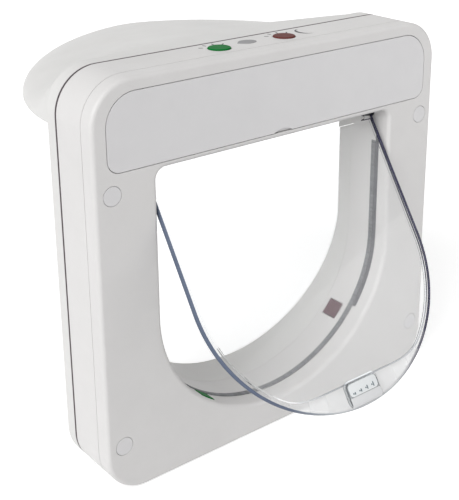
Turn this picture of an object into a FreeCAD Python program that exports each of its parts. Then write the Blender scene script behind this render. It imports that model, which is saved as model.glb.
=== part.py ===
import FreeCAD, Part
import math
import os

# Cat flap with an electronic lock, for a house door. All sizes are millimetres.
# X points right as seen from indoors, Y points outdoors and Z points up.
# The origin is the middle of the indoor frame's bottom face, in the plane of the closed flap.

# Frame
frame_width = 240.0
frame_height = 230.0
frame_corner = 24.0
front_depth = 16.5
back_depth = 16.5
fascia_depth = 9.3
seam_gap = 1.2
outer_depth = 9.0
outer_round = 1.6
wall = 2.4
edge_round = 2.3
joint_groove = 0.35
lip_thickness = 1.4
lip_length = 3.0
lip_clearance = 0.15

# Tunnel that the cat walks through
side_band = 36.6
top_band = 50.2
floor_band = 17.7
round_height = 77.9
opening_corner = 6.0
tunnel_joint_gap = 0.1
sill_top = 100.0
sill_reach = 10.3
sill_rise = 3.6

# Cover over the battery bay
cover_margin = 8.5
cover_top_margin = 7.2
cover_height = 39.8
cover_top_corner = 17.0
cover_low_corner = 7.0
cover_gap = 0.35
cover_seat_gap = 0.1
cover_ledge = 2.0
cover_notch_width = 13.0
cover_notch_height = 1.8
notch_depth = 1.2

# Flap
flap_clearance = 1.2
flap_rim = 3.4
flap_pane = 2.2
flap_corner = 0.5
rim_width = 2.2
foot_band = 14.1
foot_round = 12.0
hinge_drop = 3.9
barrel_radius = 2.8
pin_radius = 1.5
pin_grip = 7.0
pin_reach = 4.2
collar_radius = 3.0
collar_length = 5.5
collar_clearance = 0.1
pin_clearance = 0.05
bush_radius = 4.2
bush_flange_radius = 6.0
bush_flange = 1.4
bush_tail = 1.5
bush_proud = 0.4
open_angle = 33.6

# Magnet tab on the flap
tab_width = 21.8
tab_height = 12.1
tab_depth = 1.8
tab_rise = 2.6
tab_pad = 1.2
flap_magnet_width = 16.0
flap_magnet_height = 7.0
flap_magnet_depth = 1.2
magnet_clearance = 0.2
keeper_width = 16.0
keeper_depth = 6.0
keeper_height = 6.0
keeper_rib_height = 3.6

# Draught strip
strip_width = 3.5
strip_front = -5.25
strip_groove = 1.2
strip_proud = 0.5
strip_clearance = 0.1
strip_top_margin = 23.0

# Latches
entry_latch_share = -0.6235
entry_latch_front = -13.6
entry_latch_back = -6.0
entry_coil_y = -5.0
exit_latch_share = 0.7554
exit_latch_front = 2.6
exit_latch_back = 13.2
exit_coil_y = 6.2
latch_width = 10.4
latch_proud = 0.5
latch_clearance = 0.4
latch_travel = 8.0
latch_foot = 1.6
latch_stem_radius = 2.0
latch_stem = 3.0
coil_radius = 7.0
coil_length = 16.0
coil_rise = 2.0
coil_floor = 2.0
plunger_radius = 3.4
plunger_clearance = 0.1
plunger_length = 12.0
saddle_width = 8.0
saddle_height = 6.0

# Batteries and their tray
cell_radius = 7.1
cell_length = 50.0
cell_gap = 1.0
row_gap = 1.1
tray_wall = 1.5
tray_rise = 1.4
contact_thickness = 0.6
contact_spring = 4.6
contact_big_radius = 4.0
contact_small_radius = 2.0
tray_margin = 0.4
tray_front_gap = 1.0

# Boards
board_thickness = 1.6
board_half_width = 60.0
board_gap = 2.1
board_low = 3.8
board_height = 30.0
board_screw_radius = 1.1
board_screw_head = 2.2
board_screw_inset_x = 8.0
board_screw_inset_z = 4.0
board_post_radius = 2.6
chip_size = 10.0
chip_height = 1.6
chip_step = 17.0
chip_shares = (1.0, 0.7, 0.8)
capacitor_radius = 3.5
capacitor_height = 3.5
sounder_x = 36.0
sounder_radius = 6.0
sounder_height = 3.6
sounder_port = 1.2
button_board_length = 82.0
button_board_width = 16.0
button_board_rise = 1.6

# Buttons
button_radius = 6.3
button_clearance = 0.25
button_proud = 0.7
button_travel = 0.8
button_flange = 1.6
button_flange_radius = 8.0
button_flange_gap = 0.4
button_stem_radius = 1.8
button_y = 3.7
entry_button_x = -28.0
exit_button_x = 17.3
switch_size = 6.0
switch_height = 2.6
switch_tip_radius = 1.6
switch_tip = 0.7
switch_gap = 0.3

# Fixings
bolt_inset = 10.3
bolt_low_z = 29.5
bolt_high_drop = 58.2
bolt_radius = 2.5
bolt_clearance = 0.25
bolt_head_radius = 4.6
bolt_head = 4.0
bolt_head_y = 6.0
bolt_boss_radius = 6.8
plug_radius = 5.1
plug_gap = 0.2
plug_thickness = 2.2
plug_spigot_radius = 3.6
plug_spigot = 3.0
insert_radius = 3.8
insert_boss_radius = 6.0
insert_length = 6.0
shell_screw_radius = 1.4
shell_screw_head_radius = 2.8
shell_screw_head = 1.5
shell_post_radius = 3.6
shell_mid_inset = 16.0
shell_mid_z = 100.0
shell_low_inset = 22.0
shell_low_z = 11.0
shell_screw_grip = 3.5

# Seal and coil
seal_inset = 3.5
seal_width = 6.0
aerial_clearance = 0.3
aerial_thickness = 4.0
aerial_depth = 5.4
lead_radius = 0.9
lead_bend = 8.0
lead_inset = 24.0
lead_start = 4.0

# Hood over the outdoor side
hood_length = 147.6
hood_height = 28.5
hood_wall = 2.2
hood_plan_power = 1.72
hood_plan_root = 1.5
hood_fall_power = 1.74
hood_fall_root = 1.7
hood_arch_start = 14.0
hood_arch_end = 1.48
hood_arch_change = 20.0
hood_tip_share = 0.996

# Places that follow from the sizes above
front_y = -front_depth
back_y = back_depth
fascia_back = front_y + fascia_depth
outer_front = back_y + seam_gap
outer_back = outer_front + outer_depth
sill_end = outer_back + sill_reach
half_width = frame_width / 2
opening_half_width = half_width - side_band
opening_top = frame_height - top_band
opening_centre = floor_band + round_height
opening_bottom = floor_band
hinge_z = opening_top - hinge_drop
entry_latch_x = entry_latch_share * opening_half_width
exit_latch_x = exit_latch_share * opening_half_width
bolt_x = half_width - bolt_inset
bolt_high_z = frame_height - bolt_high_drop
shell_screw_mid = (half_width - shell_mid_inset, shell_mid_z)
shell_screw_low = (half_width - shell_low_inset, shell_low_z)
lead_x = half_width - lead_inset
cover_half = half_width - cover_margin
cover_top = frame_height - cover_top_margin
cover_low = cover_top - cover_height
ledge_back = front_y + wall + cover_ledge
tunnel_roof = opening_top + wall
latch_reach = latch_travel + wall + latch_clearance
top_underside = frame_height - wall
tray_half = cell_gap / 2 + cell_length + contact_spring + contact_thickness + tray_wall
tray_low = tunnel_roof + tray_rise
tray_high = tray_low + 2 * tray_wall + 4 * cell_radius + row_gap + 2 * tray_margin
cell_y = ledge_back + tray_front_gap + cell_radius
tray_back = cell_y + cell_radius + tray_margin + tray_wall
board_front = tray_back + board_gap
board_back = board_front + board_thickness
board_bottom = tray_low + board_low
bush_end = opening_half_width - bush_proud


def vec(x, y, z):
    return FreeCAD.Vector(x, y, z)


def box(x0, x1, y0, y1, z0, z1):
    return Part.makeBox(x1 - x0, y1 - y0, z1 - z0, vec(x0, y0, z0))


def rod(radius, start, direction, length):
    return Part.makeCylinder(radius, length, start, direction)


def rod_y(radius, x, z, y0, y1):
    return rod(radius, vec(x, y0, z), vec(0, 1, 0), y1 - y0)


def rod_z(radius, x, y, z0, z1):
    return rod(radius, vec(x, y, z0), vec(0, 0, 1), z1 - z0)


def mirrored(shape):
    return shape.mirror(vec(0, 0, 0), vec(1, 0, 0))


def both_sides(shape):
    return [shape, mirrored(shape)]


def joined(shapes):
    whole = shapes[0].fuse(shapes[1:])
    return whole.removeSplitter()


def rounded_outline(corners, y):
    """Closed wire in the plane y. Each corner is (x, z, radius), in order round the outline."""
    count = len(corners)
    starts = []
    ends = []
    middles = []
    for i in range(count):
        x, z, radius = corners[i]
        here = vec(x, y, z)
        before = vec(corners[i - 1][0], y, corners[i - 1][1]).sub(here)
        after = vec(corners[(i + 1) % count][0], y, corners[(i + 1) % count][1]).sub(here)
        before.normalize()
        after.normalize()
        half = before.getAngle(after) / 2
        reach = radius / math.tan(half)
        inward = before + after
        inward.normalize()
        starts.append(here + before * reach)
        ends.append(here + after * reach)
        middles.append(here + inward * (radius / math.sin(half) - radius))
    edges = []
    for i in range(count):
        if corners[i][2] > 0:
            edges.append(Part.Arc(starts[i], middles[i], ends[i]).toShape())
        edges.append(Part.makeLine(ends[i], starts[(i + 1) % count]))
    return Part.Wire(edges)


def slab(wire, depth):
    return Part.Face(wire).extrude(vec(0, depth, 0))


def frame_block(inset, y0, y1):
    """Solid with the frame's outline, drawn in by inset."""
    x = half_width - inset
    low = inset
    high = frame_height - inset
    r = frame_corner - inset
    corners = [(-x, low, r), (x, low, r), (x, high, r), (-x, high, r)]
    return slab(rounded_outline(corners, y0), y1 - y0)


def tunnel_block(grow, y0, y1):
    """Solid with the tunnel's outline, made larger by grow: round below, square above."""
    a = opening_half_width + grow
    b = round_height + grow
    top = opening_top + grow
    r = opening_corner + grow
    return slab(arch_wire(a, b, top, r, y0), y1 - y0)


def tunnel_ramp(grow, y0, y1):
    """The tunnel's outline again, with a floor that rises outdoors, under the flap's swing."""
    a = opening_half_width + grow
    b = round_height + grow
    top = opening_top + grow
    r = opening_corner + grow
    slope = sill_rise / (sill_end - back_y)
    ends = [arch_wire(a, b, top, r, y, slope * (y - back_y)) for y in (y0, y1)]
    return Part.makeLoft(ends, True, True)


def bowl_arc(a, b, y, lift):
    """Lower half of the tunnel's ellipse, which may be wider or narrower than it is tall."""
    middle = opening_centre + lift
    centre = vec(0, y, middle)
    side = vec(a, y, middle)
    foot = vec(0, y, middle - b)
    if a >= b:
        return Part.ArcOfEllipse(Part.Ellipse(side, foot, centre), 0, math.pi).toShape()
    return Part.ArcOfEllipse(Part.Ellipse(foot, side, centre), -math.pi / 2, math.pi / 2).toShape()


def arch_wire(a, b, top, r, y, lift=0.0):
    """Closed wire in the plane y: round below, its floor lifted, with rounded corners above."""
    slant = r * (1 - math.sqrt(0.5))
    left_low = vec(-a, y, opening_centre + lift)
    left_high = vec(-a, y, top - r)
    left_mid = vec(-a + slant, y, top - slant)
    left_top = vec(-a + r, y, top)
    right_top = vec(a - r, y, top)
    right_mid = vec(a - slant, y, top - slant)
    right_high = vec(a, y, top - r)
    right_low = vec(a, y, opening_centre + lift)
    edges = [
        bowl_arc(a, b, y, lift),
        Part.makeLine(left_low, left_high),
        Part.Arc(left_high, left_mid, left_top).toShape(),
        Part.makeLine(left_top, right_top),
        Part.Arc(right_top, right_mid, right_high).toShape(),
        Part.makeLine(right_high, right_low),
    ]
    return Part.Wire(Part.__sortEdges__(edges))


def cover_block(grow, y0, y1):
    """Solid with the battery cover's outline, made larger by grow."""
    x = cover_half + grow
    high = cover_top + grow
    low = cover_low - grow
    r_high = cover_top_corner + grow
    r_low = cover_low_corner + grow
    corners = [(-x, low, r_low), (x, low, r_low), (x, high, r_high), (-x, high, r_high)]
    return slab(rounded_outline(corners, y0), y1 - y0)


def edges_in_plane(shape, y):
    found = []
    for edge in shape.Edges:
        if abs(edge.BoundBox.YMin - y) < 0.001 and abs(edge.BoundBox.YMax - y) < 0.001:
            found.append(edge)
    return found


def bolt_places():
    return [(sign * bolt_x, z) for sign in (-1, 1) for z in (bolt_low_z, bolt_high_z)]


def shell_screw_places():
    return [(sign * x, z) for sign in (-1, 1) for x, z in (shell_screw_mid, shell_screw_low)]


# Latches, each of which comes up through the tunnel's round floor, square to it
def wall_frame(x0, y0):
    """Placement with its origin on the tunnel wall at x0, its Z pointing into the tunnel."""
    share = math.sqrt(1 - (x0 / opening_half_width) ** 2)
    z0 = opening_centre - round_height * share
    inward = vec(-x0 / opening_half_width**2, 0, (opening_centre - z0) / round_height**2)
    inward.normalize()
    along = vec(0, 1, 0).cross(inward)
    matrix = FreeCAD.Matrix(
        along.x, 0, inward.x, x0,
        along.y, 1, inward.y, y0,
        along.z, 0, inward.z, z0,
        0, 0, 0, 1,
    )
    return FreeCAD.Placement(matrix)


def on_wall(shape, x0):
    placed = shape.copy()
    placed.Placement = wall_frame(x0, 0).multiply(shape.Placement)
    return placed


def latch_slot(x0, front, back):
    half = latch_width / 2 + latch_clearance
    depth = latch_reach + latch_foot
    cut = box(-half, half, front - latch_clearance, back + latch_clearance, -depth, wall)
    return on_wall(cut, x0)


def latch_head(x0, front, back, coil_y):
    """Coloured latch with the foot that its plunger pushes."""
    half = latch_width / 2
    tab = box(-half, half, front, back, -latch_reach, latch_proud)
    rim = [e for e in tab.Edges if abs(e.BoundBox.ZMin - latch_proud) < 0.01]
    tab = tab.makeFillet(latch_proud * 0.8, rim)
    foot_front = min(front, coil_y - latch_stem_radius)
    foot_back = max(back, coil_y + latch_stem_radius)
    foot = box(-half, half, foot_front, foot_back, -latch_reach - latch_foot, -latch_reach)
    return on_wall(joined([tab, foot]), x0)


def coil_top():
    return -latch_reach - latch_foot - latch_stem - coil_rise


def latch_plunger(x0, coil_y):
    foot_low = -latch_reach - latch_foot
    stem = rod_z(latch_stem_radius, 0, coil_y, coil_top(), foot_low)
    core = rod_z(plunger_radius, 0, coil_y, coil_top() - plunger_length, coil_top())
    return on_wall(joined([core, stem]), x0)


def latch_coil(x0, coil_y):
    top = coil_top()
    body = rod_z(coil_radius, 0, coil_y, top - coil_length, top)
    bore = plunger_radius + plunger_clearance
    body = body.cut(rod_z(bore, 0, coil_y, top - coil_length + coil_floor, top))
    return on_wall(body, x0)


def latch_saddle(x0, coil_y):
    """Block on the housing's back plate that holds the coil."""
    half = saddle_width / 2
    middle = coil_top() - coil_length / 2
    low = middle - saddle_height / 2
    block = box(-half, half, coil_y, back_y - wall, low, low + saddle_height)
    block = block.cut(rod_z(coil_radius, 0, coil_y, coil_top() - coil_length, coil_top()))
    return on_wall(block, x0)


# Indoor frame: fascia in front, housing behind it
def bolt_bosses(y0, y1):
    return [rod_y(bolt_boss_radius, x, z, y0, y1) for x, z in bolt_places()]


def make_inner_fascia():
    body = frame_block(0, front_y, fascia_back).cut(tunnel_block(0, front_y, fascia_back))
    body = body.makeFillet(edge_round, edges_in_plane(body, front_y))
    inside = frame_block(wall, front_y + wall, fascia_back).cut(tunnel_block(wall, front_y, fascia_back))
    body = body.cut(inside)
    ledge = cover_block(cover_ledge, front_y + wall, ledge_back)
    ledge = ledge.common(frame_block(wall, front_y, fascia_back))
    ledge = ledge.cut(tunnel_block(0, front_y, fascia_back))
    posts = [
        rod_y(shell_post_radius, x, z, front_y + wall, fascia_back) for x, z in shell_screw_places()
    ]
    body = joined([body, ledge] + bolt_bosses(front_y + wall, fascia_back) + posts)
    body = body.cut(cover_block(cover_gap, front_y, front_y + wall))
    bay_half = tray_half - tray_wall
    bay_low = tray_low + tray_wall
    bay_high = tray_high - tray_wall
    cell_bay = box(-bay_half, bay_half, front_y, fascia_back, bay_low, bay_high)
    body = body.cut(cell_bay)
    for x, z in bolt_places():
        body = body.cut(rod_y(plug_radius + plug_gap, x, z, front_y, front_y + plug_thickness))
        body = body.cut(rod_y(bolt_head_radius + bolt_clearance, x, z, front_y, fascia_back))
    for x, z in shell_screw_places():
        body = body.cut(rod_y(shell_screw_radius, x, z, fascia_back - shell_screw_grip, fascia_back))
    body = body.cut(latch_slot(entry_latch_x, entry_latch_front, entry_latch_back))
    return body


def make_inner_housing():
    body = frame_block(0, fascia_back, back_y)
    body = body.cut(frame_block(wall, fascia_back, back_y - wall))
    groove = frame_block(0, fascia_back, fascia_back + joint_groove)
    body = body.cut(groove.cut(frame_block(joint_groove, fascia_back, fascia_back + joint_groove)))
    sleeve = tunnel_block(wall, fascia_back, back_y)
    lip_inset = wall + lip_clearance
    lip = frame_block(lip_inset, fascia_back - lip_length, fascia_back + wall)
    lip = lip.cut(frame_block(lip_inset + lip_thickness, fascia_back - lip_length, fascia_back + wall))
    root = frame_block(wall - joint_groove, fascia_back + joint_groove, fascia_back + wall)
    root = root.cut(frame_block(lip_inset + lip_thickness, fascia_back, fascia_back + wall))
    posts = [
        rod_y(shell_post_radius, x, z, fascia_back, back_y - wall) for x, z in shell_screw_places()
    ]
    stands = [
        rod_y(board_post_radius, x, z, board_back, back_y - wall) for x, z in board_screw_places()
    ]
    rib = box(
        -keeper_width / 2, keeper_width / 2, -keeper_depth / 2, back_y - wall,
        wall, wall + keeper_rib_height,
    )
    saddles = [
        latch_saddle(entry_latch_x, entry_coil_y),
        latch_saddle(exit_latch_x, exit_coil_y),
    ]
    bosses = bolt_bosses(fascia_back, back_y - wall)
    body = joined([body, sleeve, lip, root, rib] + saddles + posts + stands + bosses)
    for x, z in bolt_places():
        body = body.cut(rod_y(bolt_boss_radius + lip_clearance, x, z, fascia_back - lip_length, fascia_back))
        body = body.cut(rod_y(bolt_head_radius + bolt_clearance, x, z, fascia_back, bolt_head_y))
        body = body.cut(rod_y(bolt_radius + bolt_clearance, x, z, bolt_head_y, back_y))
    for x, z in shell_screw_places():
        body = body.cut(rod_y(shell_post_radius + lip_clearance, x, z, fascia_back - lip_length, fascia_back))
        body = body.cut(rod_y(shell_screw_radius, x, z, fascia_back, back_y))
        body = body.cut(rod_y(shell_screw_head_radius, x, z, back_y - shell_screw_head, back_y))
    for x, z in board_screw_places():
        body = body.cut(rod_y(board_screw_radius, x, z, board_back, back_y - wall))
    for x in (entry_button_x, exit_button_x):
        hole = button_radius + button_clearance
        body = body.cut(rod_z(hole, x, button_y, top_underside, frame_height))
    body = body.cut(tunnel_block(0, fascia_back, back_y))
    groove_ring = tunnel_block(strip_groove, strip_front, strip_front + strip_width)
    body = body.cut(groove_ring.common(strip_room()))
    pocket_start = opening_half_width - opening_corner
    pocket_length = bush_end + pin_reach + wall - pocket_start
    for pocket in both_sides(rod(bush_radius, vec(pocket_start, 0, hinge_z), vec(1, 0, 0), pocket_length)):
        body = body.cut(pocket)
    body = body.cut(latch_slot(entry_latch_x, entry_latch_front, entry_latch_back))
    body = body.cut(latch_slot(exit_latch_x, exit_latch_front, exit_latch_back))
    return body


def strip_room():
    reach = opening_half_width + wall
    return box(-reach, reach, front_y, back_y, 0, opening_top - strip_top_margin)


def make_draught_strip():
    grow = strip_groove - strip_clearance
    front = strip_front + strip_clearance
    back = strip_front + strip_width - strip_clearance
    ring = tunnel_block(grow, front, back).cut(tunnel_block(-strip_proud, front, back))
    return ring.common(strip_room())


def make_screw_plugs():
    plugs = []
    for x, z in bolt_places():
        cap_back = front_y + plug_thickness
        cap = rod_y(plug_radius, x, z, front_y, cap_back)
        spigot = rod_y(plug_spigot_radius, x, z, cap_back, cap_back + plug_spigot)
        plugs.append(joined([cap, spigot]))
    return plugs


def make_fixing_bolts():
    bolts = []
    for x, z in bolt_places():
        head = rod_y(bolt_head_radius, x, z, bolt_head_y - bolt_head, bolt_head_y)
        shank = rod_y(bolt_radius, x, z, bolt_head_y, outer_front + insert_length)
        socket = rod_y(bolt_radius * 0.9, x, z, bolt_head_y - bolt_head, bolt_head_y - bolt_head / 2)
        bolts.append(joined([head, shank]).cut(socket))
    return bolts


def make_thread_inserts():
    inserts = []
    for x, z in bolt_places():
        sleeve = rod_y(insert_radius, x, z, outer_front, outer_front + insert_length)
        inserts.append(sleeve.cut(rod_y(bolt_radius, x, z, outer_front, outer_front + insert_length)))
    return inserts


def make_shell_screws():
    screws = []
    for x, z in shell_screw_places():
        head = rod_y(shell_screw_head_radius, x, z, back_y - shell_screw_head, back_y)
        shank = rod_y(shell_screw_radius, x, z, fascia_back - shell_screw_grip, back_y - shell_screw_head)
        screws.append(joined([head, shank]))
    return screws


# Cover, battery tray and cells
def make_cover_panel():
    body = cover_block(0, front_y, front_y + wall - cover_seat_gap)
    half = cover_notch_width / 2
    radius = (half**2 + cover_notch_height**2) / (2 * cover_notch_height)
    scoop = rod_y(radius, 0, cover_low + cover_notch_height - radius, front_y, front_y + notch_depth)
    body = body.cut(scoop)
    clip_z = tray_low + tray_wall + tray_margin
    for sign in (-1, 1):
        x = sign * tray_half / 2
        clip = box(
            x - cover_ledge * 1.5, x + cover_ledge * 1.5,
            front_y + wall - cover_seat_gap, ledge_back,
            clip_z, clip_z + contact_thickness * 2,
        )
        body = body.fuse(clip)
    return body.removeSplitter()


def make_battery_tray():
    body = box(-tray_half, tray_half, ledge_back, tray_back, tray_low, tray_high)
    bay_half = tray_half - tray_wall
    bay = box(
        -bay_half, bay_half, ledge_back, tray_back - tray_wall,
        tray_low + tray_wall, tray_high - tray_wall,
    )
    feet = [
        rod_z(board_post_radius, x, tray_back - board_post_radius, tray_high, tray_high + button_board_rise)
        for x in button_post_places()
    ]
    base = box(-tray_half, tray_half, cell_y, tray_back, tunnel_roof, tray_low)
    return joined([body.cut(bay), base] + feet)


def cell_rows():
    low = tray_low + tray_wall + tray_margin + cell_radius
    return [low, low + 2 * cell_radius + row_gap]


def make_battery_cells():
    cells = []
    nub = cell_gap * 0.4
    for z in cell_rows():
        for sign in (-1, 1):
            start = vec(sign * cell_gap / 2, cell_y, z)
            can = rod(cell_radius, start, vec(sign, 0, 0), cell_length)
            tip = rod(contact_small_radius, vec(sign * cell_gap / 2, cell_y, z), vec(-sign, 0, 0), nub)
            cells.append(joined([can, tip]))
    return cells


def make_battery_contacts():
    contacts = []
    plate_x = tray_half - tray_wall - contact_thickness
    low, high = cell_rows()
    plate = box(
        plate_x, plate_x + contact_thickness, cell_y - cell_radius / 2, cell_y + cell_radius / 2,
        low - cell_radius / 2, high + cell_radius / 2,
    )
    for z in (low, high):
        start = vec(cell_gap / 2 + cell_length, cell_y, z)
        cone = Part.makeCone(contact_small_radius, contact_big_radius, contact_spring, start, vec(1, 0, 0))
        plate = plate.fuse(cone)
    for piece in both_sides(plate.removeSplitter()):
        contacts.append(piece)
    return contacts


# Boards
def board_screw_places():
    x = board_half_width - board_screw_inset_x
    low = board_bottom + board_screw_inset_z
    high = board_bottom + board_height - board_screw_inset_z
    return [(-x, low), (x, low), (-x, high), (x, high)]


def make_control_board():
    body = box(
        -board_half_width, board_half_width, board_front, board_back,
        board_bottom, board_bottom + board_height,
    )
    for x, z in board_screw_places():
        body = body.cut(rod_y(board_screw_radius, x, z, board_front, board_back))
    return body


def make_board_screws():
    screws = []
    for x, z in board_screw_places():
        head = rod_y(board_screw_head, x, z, board_front - board_screw_radius, board_front)
        shank = rod_y(board_screw_radius, x, z, board_front, board_back + board_post_radius)
        screws.append(joined([head, shank]))
    return screws


def make_board_chips():
    middle = board_bottom + board_height / 2
    chips = []
    for i, share in enumerate(chip_shares):
        x = (i - 2) * chip_step
        half = chip_size * share / 2
        top = board_back + chip_height
        chips.append(box(x - half, x + half, board_back, top, middle - half, middle + half))
    chips.append(rod_y(capacitor_radius, chip_step, middle, board_back, board_back + capacitor_height))
    return chips


def make_sounder():
    middle = board_bottom + board_height / 2
    top = board_back + sounder_height
    body = rod_y(sounder_radius, sounder_x, middle, board_back, top)
    return body.cut(rod_y(sounder_port, sounder_x, middle, top - sounder_port, top))


def button_post_places():
    middle = (entry_button_x + exit_button_x) / 2
    reach = button_board_length / 2 - board_post_radius
    return [middle - reach, middle + reach]


def button_board_top():
    return tray_high + button_board_rise + board_thickness


def make_button_board():
    middle = (entry_button_x + exit_button_x) / 2
    half = button_board_length / 2
    low_y = button_y - button_board_width / 2
    return box(
        middle - half, middle + half, low_y, low_y + button_board_width,
        button_board_top() - board_thickness, button_board_top(),
    )


def make_switches():
    switches = []
    half = switch_size / 2
    low = button_board_top()
    for x in (entry_button_x, exit_button_x):
        base = box(x - half, x + half, button_y - half, button_y + half, low, low + switch_height)
        tip = rod_z(switch_tip_radius, x, button_y, low + switch_height, low + switch_height + switch_tip)
        switches.append(joined([base, tip]))
    return switches


def make_button(x):
    flange_top = top_underside - button_flange_gap
    flange_low = flange_top - button_flange
    stem_low = button_board_top() + switch_height + switch_tip + switch_gap + button_travel
    cap = rod_z(button_radius, x, button_y, flange_top, frame_height + button_proud)
    crown = [e for e in cap.Edges if abs(e.BoundBox.ZMin - frame_height - button_proud) < 0.01]
    cap = cap.makeFillet(button_proud * 0.8, crown)
    flange = rod_z(button_flange_radius, x, button_y, flange_low, flange_top)
    stem = rod_z(button_stem_radius, x, button_y, stem_low, flange_low)
    return joined([cap, flange, stem])


# Flap and its hinge
def flap_outline(inset, top, corner):
    """Outline of the flap in its closed place: the tunnel's outline, drawn in by its clearance."""
    a = opening_half_width - flap_clearance - inset
    b = round_height - flap_clearance - inset
    return arch_wire(a, b, top, corner, 0)


def swung(shape):
    turned = shape.copy()
    turned.rotate(vec(0, 0, hinge_z), vec(1, 0, 0), -open_angle)
    return turned


def tab_low():
    return opening_bottom + flap_clearance + tab_rise


def make_flap_pane():
    half = flap_rim / 2
    body = slab(flap_outline(0, hinge_z, flap_corner), flap_rim)
    body.translate(vec(0, -half, 0))
    pocket_top = hinge_z - barrel_radius - rim_width
    pocket_depth = (flap_rim - flap_pane) / 2
    pocket = slab(flap_outline(rim_width, pocket_top, rim_width), pocket_depth)
    reach = opening_half_width
    foot_line = opening_bottom + flap_clearance + foot_band
    pocket = pocket.cut(box(-reach, reach, 0, pocket_depth, opening_bottom, foot_line))
    corners = [
        e for e in pocket.Edges
        if abs(e.BoundBox.ZMax - foot_line) < 0.01 and e.BoundBox.YLength > pocket_depth / 2
    ]
    pocket = pocket.makeFillet(foot_round, corners)
    pad = box(
        -tab_width / 2 - tab_pad, tab_width / 2 + tab_pad, -half, half,
        opening_bottom, tab_low() + tab_height + tab_pad,
    )
    pocket = pocket.cut(pad)
    front = pocket.copy()
    front.translate(vec(0, -half, 0))
    back = pocket.copy()
    back.translate(vec(0, half - pocket_depth, 0))
    end = opening_half_width - flap_clearance
    collar_start = end - collar_length
    barrel = rod(barrel_radius, vec(-collar_start, 0, hinge_z), vec(1, 0, 0), 2 * collar_start)
    body = body.cut(front).cut(back)
    room = rod(collar_radius + collar_clearance, vec(collar_start, 0, hinge_z), vec(1, 0, 0), collar_length)
    for side in both_sides(room):
        body = body.cut(side)
    body = joined([body, barrel])
    bore_start = collar_start - pin_grip
    for bore in both_sides(rod(pin_radius, vec(bore_start, 0, hinge_z), vec(1, 0, 0), pin_grip)):
        body = body.cut(bore)
    return swung(body)


def make_hinge_pins():
    end = opening_half_width - flap_clearance
    start = end - collar_length - pin_grip
    pin = rod(pin_radius, vec(start, 0, hinge_z), vec(1, 0, 0), pin_grip + collar_length + pin_reach)
    collar = rod(collar_radius, vec(end - collar_length, 0, hinge_z), vec(1, 0, 0), collar_length)
    return [swung(p) for p in both_sides(joined([pin, collar]))]


def make_hinge_bushes():
    length = pin_reach + wall
    body = rod(bush_radius, vec(bush_end, 0, hinge_z), vec(1, 0, 0), length)
    flange_x = opening_half_width + wall
    flange = rod(bush_flange_radius, vec(flange_x, 0, hinge_z), vec(1, 0, 0), bush_flange)
    flat = box(
        flange_x, flange_x + bush_flange, -bush_flange_radius, bush_flange_radius,
        tunnel_roof, tunnel_roof + bush_flange_radius,
    )
    flange = flange.cut(flat)
    bush = joined([body, flange])
    bore = pin_radius + pin_clearance
    bush = bush.cut(rod(bore, vec(bush_end, 0, hinge_z), vec(1, 0, 0), length - bush_tail))
    return both_sides(bush)


def make_magnet_holder():
    half = tab_width / 2
    face = -flap_rim / 2
    body = box(-half, half, face - tab_depth, face, tab_low(), tab_low() + tab_height)
    outer = [
        e for e in body.Edges
        if abs(e.BoundBox.YMin - face + tab_depth) < 0.01 and abs(e.BoundBox.YMax - face + tab_depth) < 0.01
    ]
    body = body.makeFillet(0.8, outer)
    middle = tab_low() + tab_height / 2
    wide = flap_magnet_width / 2 + magnet_clearance
    tall = flap_magnet_height / 2 + magnet_clearance
    deep = flap_magnet_depth + magnet_clearance
    body = body.cut(box(-wide, wide, face - deep, face, middle - tall, middle + tall))
    return swung(body)


def make_flap_magnet():
    face = -flap_rim / 2
    middle = tab_low() + tab_height / 2
    magnet = box(
        -flap_magnet_width / 2, flap_magnet_width / 2, face - flap_magnet_depth, face,
        middle - flap_magnet_height / 2, middle + flap_magnet_height / 2,
    )
    return swung(magnet)


def make_keeper_magnet():
    low = wall + keeper_rib_height
    return box(
        -keeper_width / 2, keeper_width / 2, -keeper_depth / 2, keeper_depth / 2,
        low, low + keeper_height,
    )


# Outdoor frame with the hood
def hood_share(t):
    """Half width of the hood, as a share of the frame's, at a share t of its length."""
    return (1 - t**hood_plan_power) ** (1 / hood_plan_root)


def hood_section(t, inset, drop):
    """Arch across the hood at a share t of its length. Its lower corners reach drop below the rim."""
    half = half_width * hood_share(t) - inset
    rise = hood_height * (1 - t**hood_fall_power) ** (1 / hood_fall_root) - inset
    power = hood_arch_end + (hood_arch_start - hood_arch_end) * (1 - t) ** hood_arch_change
    low = frame_height - hood_height
    y = outer_back + (hood_length - inset) * t
    steps = 28
    points = []
    for i in range(steps + 1):
        angle = math.pi * i / steps
        u = math.cos(angle)
        lift = math.sqrt(max(0.0, 1 - abs(u) ** power))
        points.append(vec(half * u, y, low + rise * lift))
    curve = Part.BSplineCurve()
    curve.interpolate(points)
    edges = [curve.toShape()]
    left = points[-1]
    right = points[0]
    if drop > 0:
        left_low = vec(left.x, y, low - drop)
        right_low = vec(right.x, y, low - drop)
        edges.append(Part.makeLine(left, left_low))
        edges.append(Part.makeLine(left_low, right_low))
        edges.append(Part.makeLine(right_low, right))
    else:
        edges.append(Part.makeLine(left, right))
    return Part.Wire(edges)


def make_hood():
    stations = [0.0, 0.008, 0.016, 0.025, 0.036, 0.05, 0.07, 0.1, 0.15, 0.22, 0.3, 0.4, 0.5, 0.6, 0.7]
    stations += [0.79, 0.87, 0.93, 0.965, 0.985, hood_tip_share]
    outer = Part.makeLoft([hood_section(t, 0, 0) for t in stations], True)
    inner = Part.makeLoft([hood_section(t, hood_wall, hood_wall) for t in stations[:-1]], True)
    return outer.cut(inner)


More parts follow.
